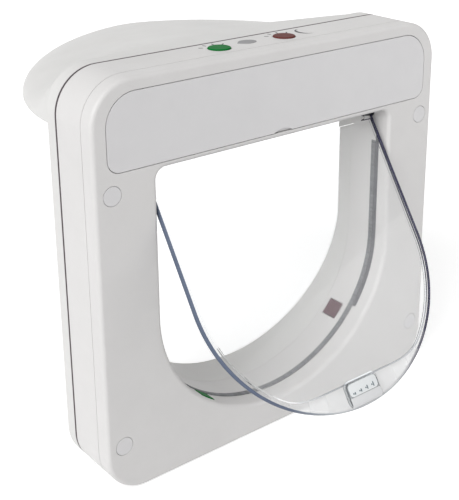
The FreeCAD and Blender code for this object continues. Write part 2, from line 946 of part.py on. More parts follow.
def make_sill():
    """Tunnel end that stands out behind the outdoor frame, cut on a slant, longest at the floor."""
    reach = opening_half_width + wall
    inner_y = outer_back - wall
    corners = [
        vec(-reach, inner_y, 0), vec(-reach, sill_end, 0), vec(-reach, sill_end, opening_bottom),
        vec(-reach, outer_back, sill_top), vec(-reach, inner_y, sill_top),
    ]
    room = Part.Face(Part.makePolygon(corners + corners[:1])).extrude(vec(2 * reach, 0, 0))
    return tunnel_ramp(wall, inner_y, sill_end).common(room)


def make_outer_frame():
    body = frame_block(0, outer_front, outer_back)
    body = body.makeFillet(outer_round, edges_in_plane(body, outer_back))
    collar = frame_block(0, outer_back - outer_round, outer_back)
    behind_hood = box(-half_width, half_width, outer_front, outer_back, frame_height - hood_height, frame_height)
    collar = collar.common(behind_hood)
    hollow = frame_block(wall, outer_front, outer_back - wall)
    body = body.cut(hollow.cut(tunnel_block(wall, outer_front, outer_back - wall)))
    bosses = [
        rod_y(insert_boss_radius, x, z, outer_front, outer_back - wall) for x, z in bolt_places()
    ]
    lip_front = back_y + tunnel_joint_gap
    lip = tunnel_block(wall, lip_front, outer_front + wall)
    body = joined([body, collar, make_hood(), lip, make_sill()] + bosses)
    body = body.cut(tunnel_ramp(0, back_y, sill_end + wall))
    for x, z in bolt_places():
        body = body.cut(rod_y(insert_radius, x, z, outer_front, outer_back - wall))
    return body


def make_door_seal():
    ring = frame_block(seal_inset, back_y, outer_front)
    ring = ring.cut(frame_block(seal_inset + seal_width, back_y, outer_front))
    for x, z in bolt_places():
        ring = ring.cut(rod_y(bolt_radius + bolt_clearance, x, z, back_y, outer_front))
    return ring


def make_aerial_coil():
    inside = wall + aerial_clearance
    back = outer_back - wall
    ring = tunnel_block(inside + aerial_thickness, back - aerial_depth, back)
    return ring.cut(tunnel_block(inside, back - aerial_depth, back))


def lead_path(points, bend):
    """Straight runs joined by arcs that touch them."""
    edges = []
    start = points[0]
    for i in range(1, len(points) - 1):
        here = points[i]
        before = points[i - 1].sub(here)
        after = points[i + 1].sub(here)
        before.normalize()
        after.normalize()
        half = before.getAngle(after) / 2
        reach = bend / math.tan(half)
        inward = before + after
        inward.normalize()
        first = here + before * reach
        middle = here + inward * (bend / math.sin(half) - bend)
        last = here + after * reach
        edges.append(Part.makeLine(start, first))
        edges.append(Part.Arc(first, middle, last).toShape())
        start = last
    edges.append(Part.makeLine(start, points[-1]))
    return Part.Wire(edges)


def make_lead(side, x0, coil_y):
    """Wire from the control board down the side channel to a latch coil."""
    coil_middle = coil_top() - coil_length / 2
    end = wall_frame(x0, 0).multVec(vec(side * coil_radius, coil_y, coil_middle))
    start_z = board_bottom + board_height / 2
    y = board_back + lead_radius
    points = [
        vec(side * (board_half_width - lead_start), y, start_z),
        vec(side * lead_x, y, start_z),
        vec(side * lead_x, y, end.z + lead_bend * 3),
        end,
    ]
    path = lead_path(points, lead_bend)
    section = Part.Wire([Part.makeCircle(lead_radius, points[0], vec(1, 0, 0))])
    lead = path.makePipeShell([section], True, False)
    return lead.cut(latch_coil(x0, coil_y))


def build_nodes():
    entry = (entry_latch_x, entry_coil_y)
    leave = (exit_latch_x, exit_coil_y)
    nodes = {}
    nodes["inner_fascia"] = make_inner_fascia()
    nodes["inner_housing"] = make_inner_housing()
    nodes["outer_frame"] = make_outer_frame()
    nodes["door_seal"] = make_door_seal()
    nodes["draught_strip"] = make_draught_strip()
    nodes["aerial_coil"] = make_aerial_coil()
    nodes["screw_plugs"] = make_screw_plugs()
    nodes["fixing_bolts"] = make_fixing_bolts()
    nodes["thread_inserts"] = make_thread_inserts()
    nodes["shell_screws"] = make_shell_screws()
    nodes["cover_panel"] = make_cover_panel()
    nodes["battery_tray"] = make_battery_tray()
    nodes["battery_cells"] = make_battery_cells()
    nodes["battery_contacts"] = make_battery_contacts()
    nodes["control_board"] = make_control_board()
    nodes["board_screws"] = make_board_screws()
    nodes["board_chips"] = make_board_chips()
    nodes["sounder"] = make_sounder()
    nodes["button_board"] = make_button_board()
    nodes["button_switches"] = make_switches()
    nodes["entry_button"] = make_button(entry_button_x)
    nodes["exit_button"] = make_button(exit_button_x)
    nodes["flap_pane"] = make_flap_pane()
    nodes["hinge_pins"] = make_hinge_pins()
    nodes["hinge_bushes"] = make_hinge_bushes()
    nodes["magnet_holder"] = make_magnet_holder()
    nodes["flap_magnet"] = make_flap_magnet()
    nodes["keeper_magnet"] = make_keeper_magnet()
    nodes["entry_latch"] = latch_head(entry_latch_x, entry_latch_front, entry_latch_back, entry_coil_y)
    nodes["exit_latch"] = latch_head(exit_latch_x, exit_latch_front, exit_latch_back, exit_coil_y)
    nodes["entry_plunger"] = latch_plunger(*entry)
    nodes["exit_plunger"] = latch_plunger(*leave)
    nodes["entry_coil"] = latch_coil(*entry)
    nodes["exit_coil"] = latch_coil(*leave)
    nodes["entry_lead"] = make_lead(-1, *entry)
    nodes["exit_lead"] = make_lead(1, *leave)
    return nodes


def write_nodes(nodes):
    os.makedirs("parts", exist_ok=True)
    for name, shape in nodes.items():
        solids = shape if isinstance(shape, list) else [shape]
        flat = []
        for solid in solids:
            flat.extend(solid.Solids)
        out = flat[0] if len(flat) == 1 else Part.makeCompound(flat)
        out.exportStep("parts/" + name + ".step")
        print(name, len(flat), round(out.Volume / 1000, 2), out.isValid())


write_nodes(build_nodes())
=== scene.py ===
import logging
import math
from dataclasses import dataclass, field
from enum import Enum, IntEnum

import bmesh
import bpy
from mathutils import Matrix, Vector


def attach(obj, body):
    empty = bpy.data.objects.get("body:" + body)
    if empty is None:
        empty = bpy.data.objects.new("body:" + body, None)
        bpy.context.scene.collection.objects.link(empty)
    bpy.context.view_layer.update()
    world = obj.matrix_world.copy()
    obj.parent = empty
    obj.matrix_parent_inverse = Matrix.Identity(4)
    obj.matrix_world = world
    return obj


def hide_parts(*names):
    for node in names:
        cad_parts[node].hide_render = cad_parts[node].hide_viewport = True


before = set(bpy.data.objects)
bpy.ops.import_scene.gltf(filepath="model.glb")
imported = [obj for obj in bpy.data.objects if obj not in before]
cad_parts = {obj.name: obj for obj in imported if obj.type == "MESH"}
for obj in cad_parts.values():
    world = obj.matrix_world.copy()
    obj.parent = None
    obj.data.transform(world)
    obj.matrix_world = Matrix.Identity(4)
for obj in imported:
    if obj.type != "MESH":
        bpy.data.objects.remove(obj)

# Cat flap on a plain pale floor. Lengths are metres, in the frame of the CAD model:
# X right as seen from indoors, Y outdoors, Z up, and Y = 0 in the plane of the closed flap.

Colour = tuple[float, float, float]
Corner = tuple[float, float, float]
Node = bpy.types.Node
Piece = bpy.types.Object
Shape = bmesh.types.BMesh
Socket = bpy.types.NodeSocket

MM = 0.001
MERGE = 1e-6  # points nearer than this are one
LEVEL = 1e-4  # points of a circle of radius 1 within this are level
SOFT_ANGLE = 0.6  # faces that meet at less than this angle, in radians, are shaded as one
PANE_ANGLE = 0.2  # the same on the pane, whose pocket step has to stay sharp
PALE_METAL = (0.6, 0.6, 0.62)
EDGE_FLECK = (0.35, 0.37, 0.42)
LOG = logging.getLogger("cat_flap")


class Tree:
    """Adds nodes to one material, world or group tree and links them."""

    def __init__(self, tree: bpy.types.NodeTree) -> None:
        """Keeps the tree that nodes are added to.

        Args:
            tree: the node tree of a material, a world or a group.
        """
        self.tree = tree

    def add(self, kind: str, **settings: object) -> Node:
        """Adds one node.

        Args:
            kind: the node's Blender type name.
            settings: properties to set on it, by name.

        Returns:
            The new node.
        """
        node = self.tree.nodes.new(kind)
        for name, value in settings.items():
            setattr(node, name, value)
        return node

    def link(self, source: Socket, target: Socket) -> None:
        """Links an output socket to an input socket."""
        self.tree.links.new(source, target)

    def math(self, operation: str, first: object, second: object = None, clamp: bool = False) -> Socket:
        """Adds a Math node.

        Args:
            operation: the Math node's operation.
            first: a socket or a number.
            second: a socket or a number, for an operation that takes two.
            clamp: whether the result is held between 0 and 1.

        Returns:
            The node's output socket.
        """
        node = self.add("ShaderNodeMath", operation=operation, use_clamp=clamp)
        for socket, value in zip(node.inputs, (first, second)):
            if isinstance(value, Socket):
                self.link(value, socket)
            elif value is not None:
                socket.default_value = value
        return node.outputs[0]

    def mix(self, factor: object, low: object, high: object) -> Socket:
        """Mixes two colours.

        Args:
            factor: a socket or a number, 0 for the first colour.
            low: a socket or a colour.
            high: a socket or a colour.

        Returns:
            The mixed colour's socket.
        """
        node = self.add("ShaderNodeMix", data_type="RGBA")
        for socket, value in ((node.inputs[0], factor), (node.inputs[6], low), (node.inputs[7], high)):
            if isinstance(value, Socket):
                self.link(value, socket)
            elif isinstance(value, tuple):
                socket.default_value = (*value, 1.0)
            else:
                socket.default_value = value
        return node.outputs[2]

    def span(
        self, value: Socket, low: float, high: float, to_low: float = 0.0, to_high: float = 1.0
    ) -> Socket:
        """Maps a value from one range to another.

        Args:
            value: the socket to map.
            low: the value that gives to_low.
            high: the value that gives to_high.
            to_low: the result at low.
            to_high: the result at high.

        Returns:
            The mapped value's socket.
        """
        node = self.add("ShaderNodeMapRange")
        self.link(value, node.inputs["Value"])
        ends = {"From Min": low, "From Max": high, "To Min": to_low, "To Max": to_high}
        for name, number in ends.items():
            node.inputs[name].default_value = number
        return node.outputs[0]

    def object_place(self, apart: bool = False) -> Socket | Node:
        """Gives a surface point's place on its object.

        Args:
            apart: whether to split it.

        Returns:
            The place's socket, or the node that has it as X, Y and Z.
        """
        place = self.add("ShaderNodeTexCoord").outputs["Object"]
        if not apart:
            return place
        split = self.add("ShaderNodeSeparateXYZ")
        self.link(place, split.inputs[0])
        return split

    def noise(self, place: Socket, scale: object, detail: float = 2.0, roughness: float = 0.5) -> Socket:
        """Adds a Noise Texture node.

        Args:
            place: where it is read.
            scale: a socket or a number.
            detail: how many layers it has.
            roughness: how strong its finer layers are.

        Returns:
            Its value's socket.
        """
        node = self.add("ShaderNodeTexNoise")
        self.link(place, node.inputs["Vector"])
        if isinstance(scale, Socket):
            self.link(scale, node.inputs["Scale"])
        else:
            node.inputs["Scale"].default_value = scale
        node.inputs["Detail"].default_value = detail
        node.inputs["Roughness"].default_value = roughness
        return node.outputs["Fac"]


class Effect(Enum):
    """Surface effects that several materials share."""

    GRAIN = "moulded grain"
    RUB = "edge rub"
    DUST = "settled dust"
    SCUFF = "fine scuffs"
    # painted shade along the outside of the joint between the two frames
    PAINTED_JOINT_SHADE = "painted joint shade"


class Effects:
    """Builds each shared effect once, as a node group."""

    def __init__(self) -> None:
        """Starts with no group built."""
        self.built: dict[Effect, bpy.types.NodeTree] = {}

    def group(self, effect: Effect) -> bpy.types.NodeTree:
        """Gives an effect's node group, built when it is first asked for.

        Args:
            effect: which effect.

        Returns:
            The node group.
        """
        if effect not in self.built:
            makers = {
                Effect.GRAIN: self.make_grain,
                Effect.RUB: self.make_rub,
                Effect.DUST: self.make_dust,
                Effect.SCUFF: self.make_scuff,
                Effect.PAINTED_JOINT_SHADE: self.make_painted_joint_shade,
            }
            tree = bpy.data.node_groups.new(effect.value, "ShaderNodeTree")
            makers[effect](tree)
            self.built[effect] = tree
        return self.built[effect]

    def place(self, tree: Tree, effect: Effect, **values: float) -> Node:
        """Puts an effect's group into a material.

        Args:
            tree: the material's tree.
            effect: which effect.
            values: the group's inputs, with spaces as underscores.

        Returns:
            The group node.
        """
        node = tree.add("ShaderNodeGroup", node_tree=self.group(effect))
        for name, value in values.items():
            node.inputs[name.replace("_", " ")].default_value = value
        return node

    @staticmethod
    def sockets(
        tree: bpy.types.NodeTree, inputs: dict[str, float], outputs: dict[str, str]
    ) -> tuple[Node, Node]:
        """Makes a group's sockets.

        Args:
            tree: the group.
            inputs: each input's name and default value.
            outputs: each output's name and socket type.

        Returns:
            The group's input node and output node.
        """
        for name, value in inputs.items():
            socket = tree.interface.new_socket(name, in_out="INPUT", socket_type="NodeSocketFloat")
            socket.default_value = value
        for name, kind in outputs.items():
            tree.interface.new_socket(name, in_out="OUTPUT", socket_type=kind)
        return tree.nodes.new("NodeGroupInput"), tree.nodes.new("NodeGroupOutput")

    @staticmethod
    def make_grain(group: bpy.types.NodeTree) -> None:
        """Fine spark-eroded grain of a mould, and the faint mottle of its plastic."""
        outputs = {"Height": "NodeSocketFloat", "Mottle": "NodeSocketFloat"}
        given, out = Effects.sockets(group, {"Grain": 1800.0, "Mottle": 40.0}, outputs)
        tree = Tree(group)
        place = tree.object_place()
        tree.link(tree.noise(place, given.outputs["Grain"]), out.inputs["Height"])
        coarse = tree.noise(place, given.outputs["Mottle"], 4.0, 0.65)
        tree.link(tree.span(coarse, 0.3, 0.7), out.inputs["Mottle"])

    @staticmethod
    def make_rub(group: bpy.types.NodeTree) -> None:
        """Where edges are polished by handling, and the normal of their small rounding."""
        outputs = {"Mask": "NodeSocketFloat", "Normal": "NodeSocketVector"}
        given, out = Effects.sockets(group, {"Radius": 0.6 * MM, "Break Up": 220.0}, outputs)
        tree = Tree(group)
        soft = tree.add("ShaderNodeBevel", samples=4)
        tree.link(given.outputs["Radius"], soft.inputs["Radius"])
        plain = tree.add("ShaderNodeNewGeometry")
        dot = tree.add("ShaderNodeVectorMath", operation="DOT_PRODUCT")
        tree.link(soft.outputs["Normal"], dot.inputs[0])
        tree.link(plain.outputs["Normal"], dot.inputs[1])
        edge = tree.span(dot.outputs["Value"], 0.99, 0.8)
        patch = tree.span(tree.noise(tree.object_place(), given.outputs["Break Up"]), 0.35, 0.65, 0.2, 1.0)
        tree.link(tree.math("MULTIPLY", edge, patch, clamp=True), out.inputs["Mask"])
        tree.link(soft.outputs["Normal"], out.inputs["Normal"])

    @staticmethod
    def make_dust(group: bpy.types.NodeTree) -> None:
        """A thin settled dust on what faces up."""
        given, out = Effects.sockets(group, {"Amount": 0.3, "Cloud": 28.0}, {"Mask": "NodeSocketFloat"})
        tree = Tree(group)
        plain = tree.add("ShaderNodeNewGeometry")
        split = tree.add("ShaderNodeSeparateXYZ")
        tree.link(plain.outputs["Normal"], split.inputs[0])
        up = tree.span(split.outputs["Z"], 0.5, 1.0)
        cloud = tree.span(tree.noise(tree.object_place(), given.outputs["Cloud"], 5.0), 0.35, 0.75)
        both = tree.math("MULTIPLY", up, cloud)
        tree.link(tree.math("MULTIPLY", both, given.outputs["Amount"], clamp=True), out.inputs["Mask"])

    @staticmethod
    def make_scuff(group: bpy.types.NodeTree) -> None:
        """Fine wipe marks that change how sharply a smooth surface shines."""
        inputs = {"Length": 60.0, "Low": 0.1, "High": 0.3}
        given, out = Effects.sockets(group, inputs, {"Roughness": "NodeSocketFloat"})
        tree = Tree(group)
        stretch = tree.add("ShaderNodeMapping")
        stretch.inputs["Scale"].default_value = (1.0, 1.0, 0.12)
        stretch.inputs["Rotation"].default_value = (0.4, 0.7, 0.3)
        tree.link(tree.object_place(), stretch.inputs["Vector"])
        wide = tree.math("SUBTRACT", given.outputs["High"], given.outputs["Low"])
        share = tree.span(tree.noise(stretch.outputs["Vector"], given.outputs["Length"], 6.0), 0.35, 0.7)
        rough = tree.math("ADD", tree.math("MULTIPLY", share, wide), given.outputs["Low"])
        tree.link(rough, out.inputs["Roughness"])

    @staticmethod
    def make_painted_joint_shade(group: bpy.types.NodeTree) -> None:
        """Painted shade that runs round the outside where the two frames meet: it darkens both frames
        beside the gap, in place of the gap's shadow.
        """
        inputs = {"Middle": 17.1 * MM, "Half": 0.62 * MM, "Fade": 0.5 * MM}
        given, out = Effects.sockets(group, inputs, {"Mask": "NodeSocketFloat"})
        tree = Tree(group)
        split = tree.object_place(apart=True)
        off = tree.math("ABSOLUTE", tree.math("SUBTRACT", split.outputs["Y"], given.outputs["Middle"]))
        past = tree.math("DIVIDE", tree.math("SUBTRACT", off, given.outputs["Half"]), given.outputs["Fade"])
        near = tree.math("SUBTRACT", 1.0, past, clamp=True)
        side = tree.math("GREATER_THAN", tree.math("ABSOLUTE", split.outputs["X"]), 112.0 * MM)
        height = tree.math("ABSOLUTE", tree.math("SUBTRACT", split.outputs["Z"], 115.0 * MM))
        outside = tree.math("MAXIMUM", side, tree.math("GREATER_THAN", height, 107.0 * MM))
        tree.link(tree.math("MULTIPLY", near, outside), out.inputs["Mask"])


EFFECTS = Effects()


def new_material(name: str) -> tuple[bpy.types.Material, Tree, Node]:
    """Makes an empty material with its Principled shader.

    Args:
        name: the material's name.

    Returns:
        The material, its tree and its Principled node.
    """
    material = bpy.data.materials.new(name)
    material.use_nodes = True
    material.node_tree.nodes.clear()
    tree = Tree(material.node_tree)
    shader = tree.add("ShaderNodeBsdfPrincipled")
    out = tree.add("ShaderNodeOutputMaterial")
    tree.link(shader.outputs[0], out.inputs["Surface"])
    return material, tree, shader


def let_lamps_through(tree: Tree, shader: Node, share: float = 0.7) -> None:
    """Lets lamp light through a clear surface, as thin clear plastic does, so that it casts no dark shadow.

    Args:
        tree: the material's tree.
        shader: its Principled node.
        share: how much of the light each surface lets through.
    """
    out = shader.outputs[0].links[0].to_node
    path = tree.add("ShaderNodeLightPath")
    open_way = tree.add("ShaderNodeBsdfTransparent")
    open_way.inputs["Color"].default_value = (share, share, share, 1.0)
    mixed = tree.add("ShaderNodeMixShader")
    tree.link(path.outputs["Is Shadow Ray"], mixed.inputs[0])
    tree.link(shader.outputs[0], mixed.inputs[1])
    tree.link(open_way.outputs[0], mixed.inputs[2])
    tree.link(mixed.outputs[0], out.inputs["Surface"])


def bump(tree: Tree, height: Socket, depth: float, under: Socket | None = None) -> Socket:
    """Adds a Bump node.

    Args:
        tree: the material's tree.
        height: the height's socket.
        depth: how far a full height stands out, in metres.
        under: a normal that the bump lies on.

    Returns:
        The bumped normal's socket.
    """
    node = tree.add("ShaderNodeBump")
    node.inputs["Distance"].default_value = depth
    tree.link(height, node.inputs["Height"])
    if under is not None:
        tree.link(under, node.inputs["Normal"])
    return node.outputs[0]


@dataclass(frozen=True)
class MouldedPlastic:
    """Opaque injection-moulded plastic with a fine grain."""

    name: str
    colour: Colour
    mottled: Colour
    rubbed: Colour
    dusty: Colour = (0.62, 0.6, 0.56)
    roughness: float = 0.42
    polish: float = 0.3
    grain: float = 1700.0
    depth: float = 0.018 * MM
    rounding: float = 0.35 * MM
    dust: float = 0.1
    gloss: float = 0.5
    # the colour of painted shade along the frame joint, or None
    joint: Colour | None = None

    def material(self) -> bpy.types.Material:
        """Builds the material."""
        material, tree, shader = new_material(self.name)
        shader.inputs["Specular IOR Level"].default_value = self.gloss
        grain = EFFECTS.place(tree, Effect.GRAIN, Grain=self.grain)
        rub = EFFECTS.place(tree, Effect.RUB, Radius=self.rounding)
        dust = EFFECTS.place(tree, Effect.DUST, Amount=self.dust)
        colour = tree.mix(grain.outputs["Mottle"], self.colour, self.mottled)
        colour = tree.mix(rub.outputs["Mask"], colour, self.rubbed)
        colour = tree.mix(dust.outputs["Mask"], colour, self.dusty)
        # painted shade along the outside of the frame joint
        if self.joint:
            colour = tree.mix(EFFECTS.place(tree, Effect.PAINTED_JOINT_SHADE).outputs["Mask"], colour, self.joint)
        tree.link(colour, shader.inputs["Base Color"])
        rough = tree.span(grain.outputs["Mottle"], 0.0, 1.0, self.roughness - 0.03, self.roughness + 0.05)
        worn = tree.math("MULTIPLY", rub.outputs["Mask"], self.polish - self.roughness)
        tree.link(tree.math("ADD", rough, worn), shader.inputs["Roughness"])
        normal = bump(tree, grain.outputs["Height"], self.depth, rub.outputs["Normal"])
        tree.link(normal, shader.inputs["Normal"])
        return material


@dataclass(frozen=True)
class ClearPlastic:
    """Clear moulded plastic, with wipe marks and a slight waviness."""

    name: str
    tint: Colour
    low_roughness: float = 0.02
    high_roughness: float = 0.07
    waviness: float = 0.05 * MM
    ior: float = 1.49
    clearness: float = 1.0

    def material(self) -> bpy.types.Material:
        """Builds the material."""
        material, tree, shader = new_material(self.name)
        shader.inputs["Base Color"].default_value = (*self.tint, 1.0)
        shader.inputs["IOR"].default_value = self.ior
        shader.inputs["Transmission Weight"].default_value = self.clearness
        scuff = EFFECTS.place(tree, Effect.SCUFF, Low=self.low_roughness, High=self.high_roughness)
        tree.link(scuff.outputs["Roughness"], shader.inputs["Roughness"])
        grain = EFFECTS.place(tree, Effect.GRAIN, Grain=24.0, Mottle=60.0)
        tree.link(bump(tree, grain.outputs["Height"], self.waviness), shader.inputs["Normal"])
        let_lamps_through(tree, shader)
        return material


@dataclass(frozen=True)
class CutEdge:
    """Cut or stepped edge of clear plastic, with painted light and shade: deep in colour along its sides
    and pale at the foot, by place across the piece, in place of how its thick edge takes the light.
    """

    name: str
    # painted colours of the edge: on its left side, on its right side and at its foot
    left: Colour
    right: Colour
    foot: Colour
    clearness: float = 0.25
    ior: float = 1.1
    low_roughness: float = 0.12
    high_roughness: float = 0.24
    inner_reach: float = 22.0 * MM
    outer_reach: float = 48.0 * MM

    def material(self) -> bpy.types.Material:
        """Builds the material."""
        material, tree, shader = new_material(self.name)
        across = tree.object_place(apart=True).outputs["X"]
        leftward = tree.span(across, -self.inner_reach, -self.outer_reach)
        rightward = tree.span(across, self.inner_reach, self.outer_reach)
        grain = EFFECTS.place(tree, Effect.GRAIN, Grain=900.0, Mottle=140.0)
        # painted light and shade: the foot colour in the middle, turning to the left and right colours
        # towards the sides
        colour = tree.mix(leftward, self.foot, self.left)
        colour = tree.mix(rightward, colour, self.right)
        colour = tree.mix(tree.math("MULTIPLY", grain.outputs["Mottle"], 0.06), colour, EDGE_FLECK)
        tree.link(colour, shader.inputs["Base Color"])
        shader.inputs["IOR"].default_value = self.ior
        shader.inputs["Transmission Weight"].default_value = self.clearness
        scuff = EFFECTS.place(
            tree, Effect.SCUFF, Length=200.0, Low=self.low_roughness, High=self.high_roughness
        )
        tree.link(scuff.outputs["Roughness"], shader.inputs["Roughness"])
        tree.link(bump(tree, grain.outputs["Height"], 0.01 * MM), shader.inputs["Normal"])
        let_lamps_through(tree, shader)
        return material


@dataclass(frozen=True)
class Metal:
    """Plated or turned metal with fine drawn lines."""

    name: str
    colour: Colour
    dull: Colour
    low_roughness: float = 0.22
    high_roughness: float = 0.42
    rounding: float = 0.15 * MM

    def material(self) -> bpy.types.Material:
        """Builds the material."""
        material, tree, shader = new_material(self.name)
        shader.inputs["Metallic"].default_value = 1.0
        grain = EFFECTS.place(tree, Effect.GRAIN, Grain=2600.0, Mottle=160.0)
        rub = EFFECTS.place(tree, Effect.RUB, Radius=self.rounding)
        scuff = EFFECTS.place(
            tree, Effect.SCUFF, Length=400.0, Low=self.low_roughness, High=self.high_roughness
        )
        tree.link(tree.mix(grain.outputs["Mottle"], self.colour, self.dull), shader.inputs["Base Color"])
        tree.link(scuff.outputs["Roughness"], shader.inputs["Roughness"])
        normal = bump(tree, grain.outputs["Height"], 0.004 * MM, rub.outputs["Normal"])
        tree.link(normal, shader.inputs["Normal"])
        return material


@dataclass(frozen=True)
class Winding:
    """Enamelled wire wound side by side, with painted shade in the grooves between the turns."""

    name: str
    colour: Colour
    groove_shade: Colour
    turn: tuple[float, float, float]
    pitch: float = 0.35 * MM

    def material(self) -> bpy.types.Material:
        """Builds the material."""
        material, tree, shader = new_material(self.name)
        along = tree.add("ShaderNodeVectorMath", operation="DOT_PRODUCT")
        along.inputs[1].default_value = self.turn
        tree.link(tree.object_place(), along.inputs[0])
        phase = tree.math("MULTIPLY", along.outputs["Value"], 2 * math.pi / self.pitch)
        ridge = tree.span(tree.math("SINE", phase), -1.0, 1.0)
        grain = EFFECTS.place(tree, Effect.GRAIN, Grain=900.0, Mottle=120.0)
        # painted shade in the grooves between the turns; the mottle also pulls the colour towards that
        # shade at random
        colour = tree.mix(ridge, self.groove_shade, self.colour)
        colour = tree.mix(tree.math("MULTIPLY", grain.outputs["Mottle"], 0.3), colour, self.groove_shade)
        tree.link(colour, shader.inputs["Base Color"])
        tree.link(tree.span(grain.outputs["Mottle"], 0.0, 1.0, 0.25, 0.4), shader.inputs["Roughness"])
        shader.inputs["Metallic"].default_value = 0.8
        tree.link(bump(tree, ridge, 0.12 * MM), shader.inputs["Normal"])
        return material


@dataclass(frozen=True)
class Pile:
    """Short dense bristles or foam, seen as fine stripes."""

    name: str
    colour: Colour
    deep: Colour
    stretch: tuple[float, float, float]
    scale: float = 900.0
    depth: float = 0.25 * MM
    roughness: float = 0.85

    def material(self) -> bpy.types.Material:
        """Builds the material."""
        material, tree, shader = new_material(self.name)
        mapping = tree.add("ShaderNodeMapping")
        mapping.inputs["Scale"].default_value = self.stretch
        tree.link(tree.object_place(), mapping.inputs["Vector"])
        hair = tree.span(tree.noise(mapping.outputs["Vector"], self.scale, 3.0), 0.3, 0.7)
        tree.link(tree.mix(hair, self.deep, self.colour), shader.inputs["Base Color"])
        shader.inputs["Roughness"].default_value = self.roughness
        shader.inputs["Sheen Weight"].default_value = 0.15
        tree.link(bump(tree, hair, self.depth), shader.inputs["Normal"])
        return material


@dataclass(frozen=True)
class BoardFinish:
    """Circuit board with copper tracks under its lacquer."""

    name: str
    lacquer: Colour = (0.015, 0.12, 0.045)
    track: Colour = (0.05, 0.24, 0.09)
    cut_edge: Colour = (0.4, 0.36, 0.2)

    def material(self) -> bpy.types.Material:
        """Builds the material."""
        material, tree, shader = new_material(self.name)
        mapping = tree.add("ShaderNodeMapping")
        mapping.inputs["Rotation"].default_value = (math.pi / 2, 0.0, 0.0)
        bricks = tree.add("ShaderNodeTexBrick", offset=0.35, squash=0.6)
        bricks.inputs["Scale"].default_value = 130.0
        bricks.inputs["Mortar Size"].default_value = 0.06
        bricks.inputs["Color1"].default_value = (*self.lacquer, 1.0)
        bricks.inputs["Color2"].default_value = (*self.lacquer, 1.0)
        bricks.inputs["Mortar"].default_value = (*self.track, 1.0)
        tree.link(tree.object_place(), mapping.inputs["Vector"])
        tree.link(mapping.outputs["Vector"], bricks.inputs["Vector"])
        grain = EFFECTS.place(tree, Effect.GRAIN, Grain=1500.0, Mottle=90.0)
        rub = EFFECTS.place(tree, Effect.RUB, Radius=0.2 * MM)
        colour = tree.mix(rub.outputs["Mask"], bricks.outputs["Color"], self.cut_edge)
        tree.link(colour, shader.inputs["Base Color"])
        tree.link(tree.span(grain.outputs["Mottle"], 0.0, 1.0, 0.22, 0.34), shader.inputs["Roughness"])
        tree.link(bump(tree, bricks.outputs["Fac"], 0.03 * MM), shader.inputs["Normal"])
        return material


@dataclass(frozen=True)
class CellSleeve:
    """Plain shrink sleeve of a battery cell, with a bright band at its outer end."""

    name: str
    sleeve: Colour = (0.03, 0.035, 0.045)
    band: Colour = (0.62, 0.36, 0.16)
    band_start: float = 41.5 * MM
    ends: float = 50.2 * MM
    middle: float = 0.5 * MM

    def material(self) -> bpy.types.Material:
        """Builds the material."""
        material, tree, shader = new_material(self.name)
        out = tree.math("ABSOLUTE", tree.object_place(apart=True).outputs["X"])
        band = tree.math("GREATER_THAN", out, self.band_start)
        outer = tree.math("GREATER_THAN", out, self.ends)
        bare = tree.math("MAXIMUM", outer, tree.math("LESS_THAN", out, self.middle))
        grain = EFFECTS.place(tree, Effect.GRAIN, Grain=700.0, Mottle=70.0)
        colour = tree.mix(band, self.sleeve, self.band)
        colour = tree.mix(bare, colour, PALE_METAL)
        tree.link(colour, shader.inputs["Base Color"])
        tree.link(tree.math("MULTIPLY", tree.math("MAXIMUM", band, bare), 0.85), shader.inputs["Metallic"])
        tree.link(tree.span(grain.outputs["Mottle"], 0.0, 1.0, 0.22, 0.36), shader.inputs["Roughness"])
        tree.link(bump(tree, grain.outputs["Height"], 0.01 * MM), shader.inputs["Normal"])
        return material


# colour of the painted shade along the frame joint
JOINT_SHADE = (0.2, 0.175, 0.185)
WHITE_SHELL = MouldedPlastic(
    "white shell", (0.655, 0.645, 0.64), (0.635, 0.625, 0.62), (0.72, 0.71, 0.7), joint=JOINT_SHADE
)
WHITE_TRIM = MouldedPlastic("white trim", (0.655, 0.648, 0.655), (0.635, 0.628, 0.636), (0.72, 0.71, 0.72))
HOOD_WHITE = MouldedPlastic(
    "hood white", (0.66, 0.655, 0.645), (0.64, 0.635, 0.625), (0.72, 0.715, 0.7), joint=JOINT_SHADE
)
DARK_PLASTIC = MouldedPlastic(
    "dark plastic", (0.055, 0.058, 0.066), (0.045, 0.048, 0.055), (0.13, 0.13, 0.14), dust=0.05
)
GREEN_PLASTIC = MouldedPlastic(
    "green plastic", (0.002, 0.17, 0.03), (0.002, 0.15, 0.026), (0.01, 0.22, 0.05),
    roughness=0.3, rounding=0.15 * MM, dust=0.0, gloss=0.01,
)
RED_PLASTIC = MouldedPlastic(
    "red plastic", (0.15, 0.045, 0.04), (0.13, 0.036, 0.032), (0.2, 0.07, 0.06),
    roughness=0.3, rounding=0.15 * MM, dust=0.0, gloss=0.01,
)
RED_LATCH = MouldedPlastic(
    "dark red plastic", (0.14, 0.07, 0.085), (0.1, 0.05, 0.062), (0.2, 0.1, 0.12),
    roughness=0.4, dust=0.0, gloss=0.15,
)
CHIP_BLACK = MouldedPlastic(
    "moulded package", (0.012, 0.012, 0.013), (0.018, 0.018, 0.019), (0.05, 0.05, 0.05),
    grain=2400.0, dust=0.05,
)
MAGNET_COAT = MouldedPlastic(
    "magnet coating", (0.5, 0.51, 0.51), (0.46, 0.47, 0.47), (0.6, 0.6, 0.6), roughness=0.5, dust=0.0
)
LEAF_INK = MouldedPlastic(
    "printed leaf", (0.34, 0.34, 0.345), (0.31, 0.31, 0.315), (0.36, 0.36, 0.36),
    roughness=0.6, rounding=0.05 * MM, dust=0.0, gloss=0.05,
)
ICON_INK = MouldedPlastic(
    "printed marks", (0.16, 0.16, 0.165), (0.14, 0.14, 0.145), (0.18, 0.18, 0.18),
    roughness=0.6, rounding=0.05 * MM, dust=0.0, gloss=0.05,
)
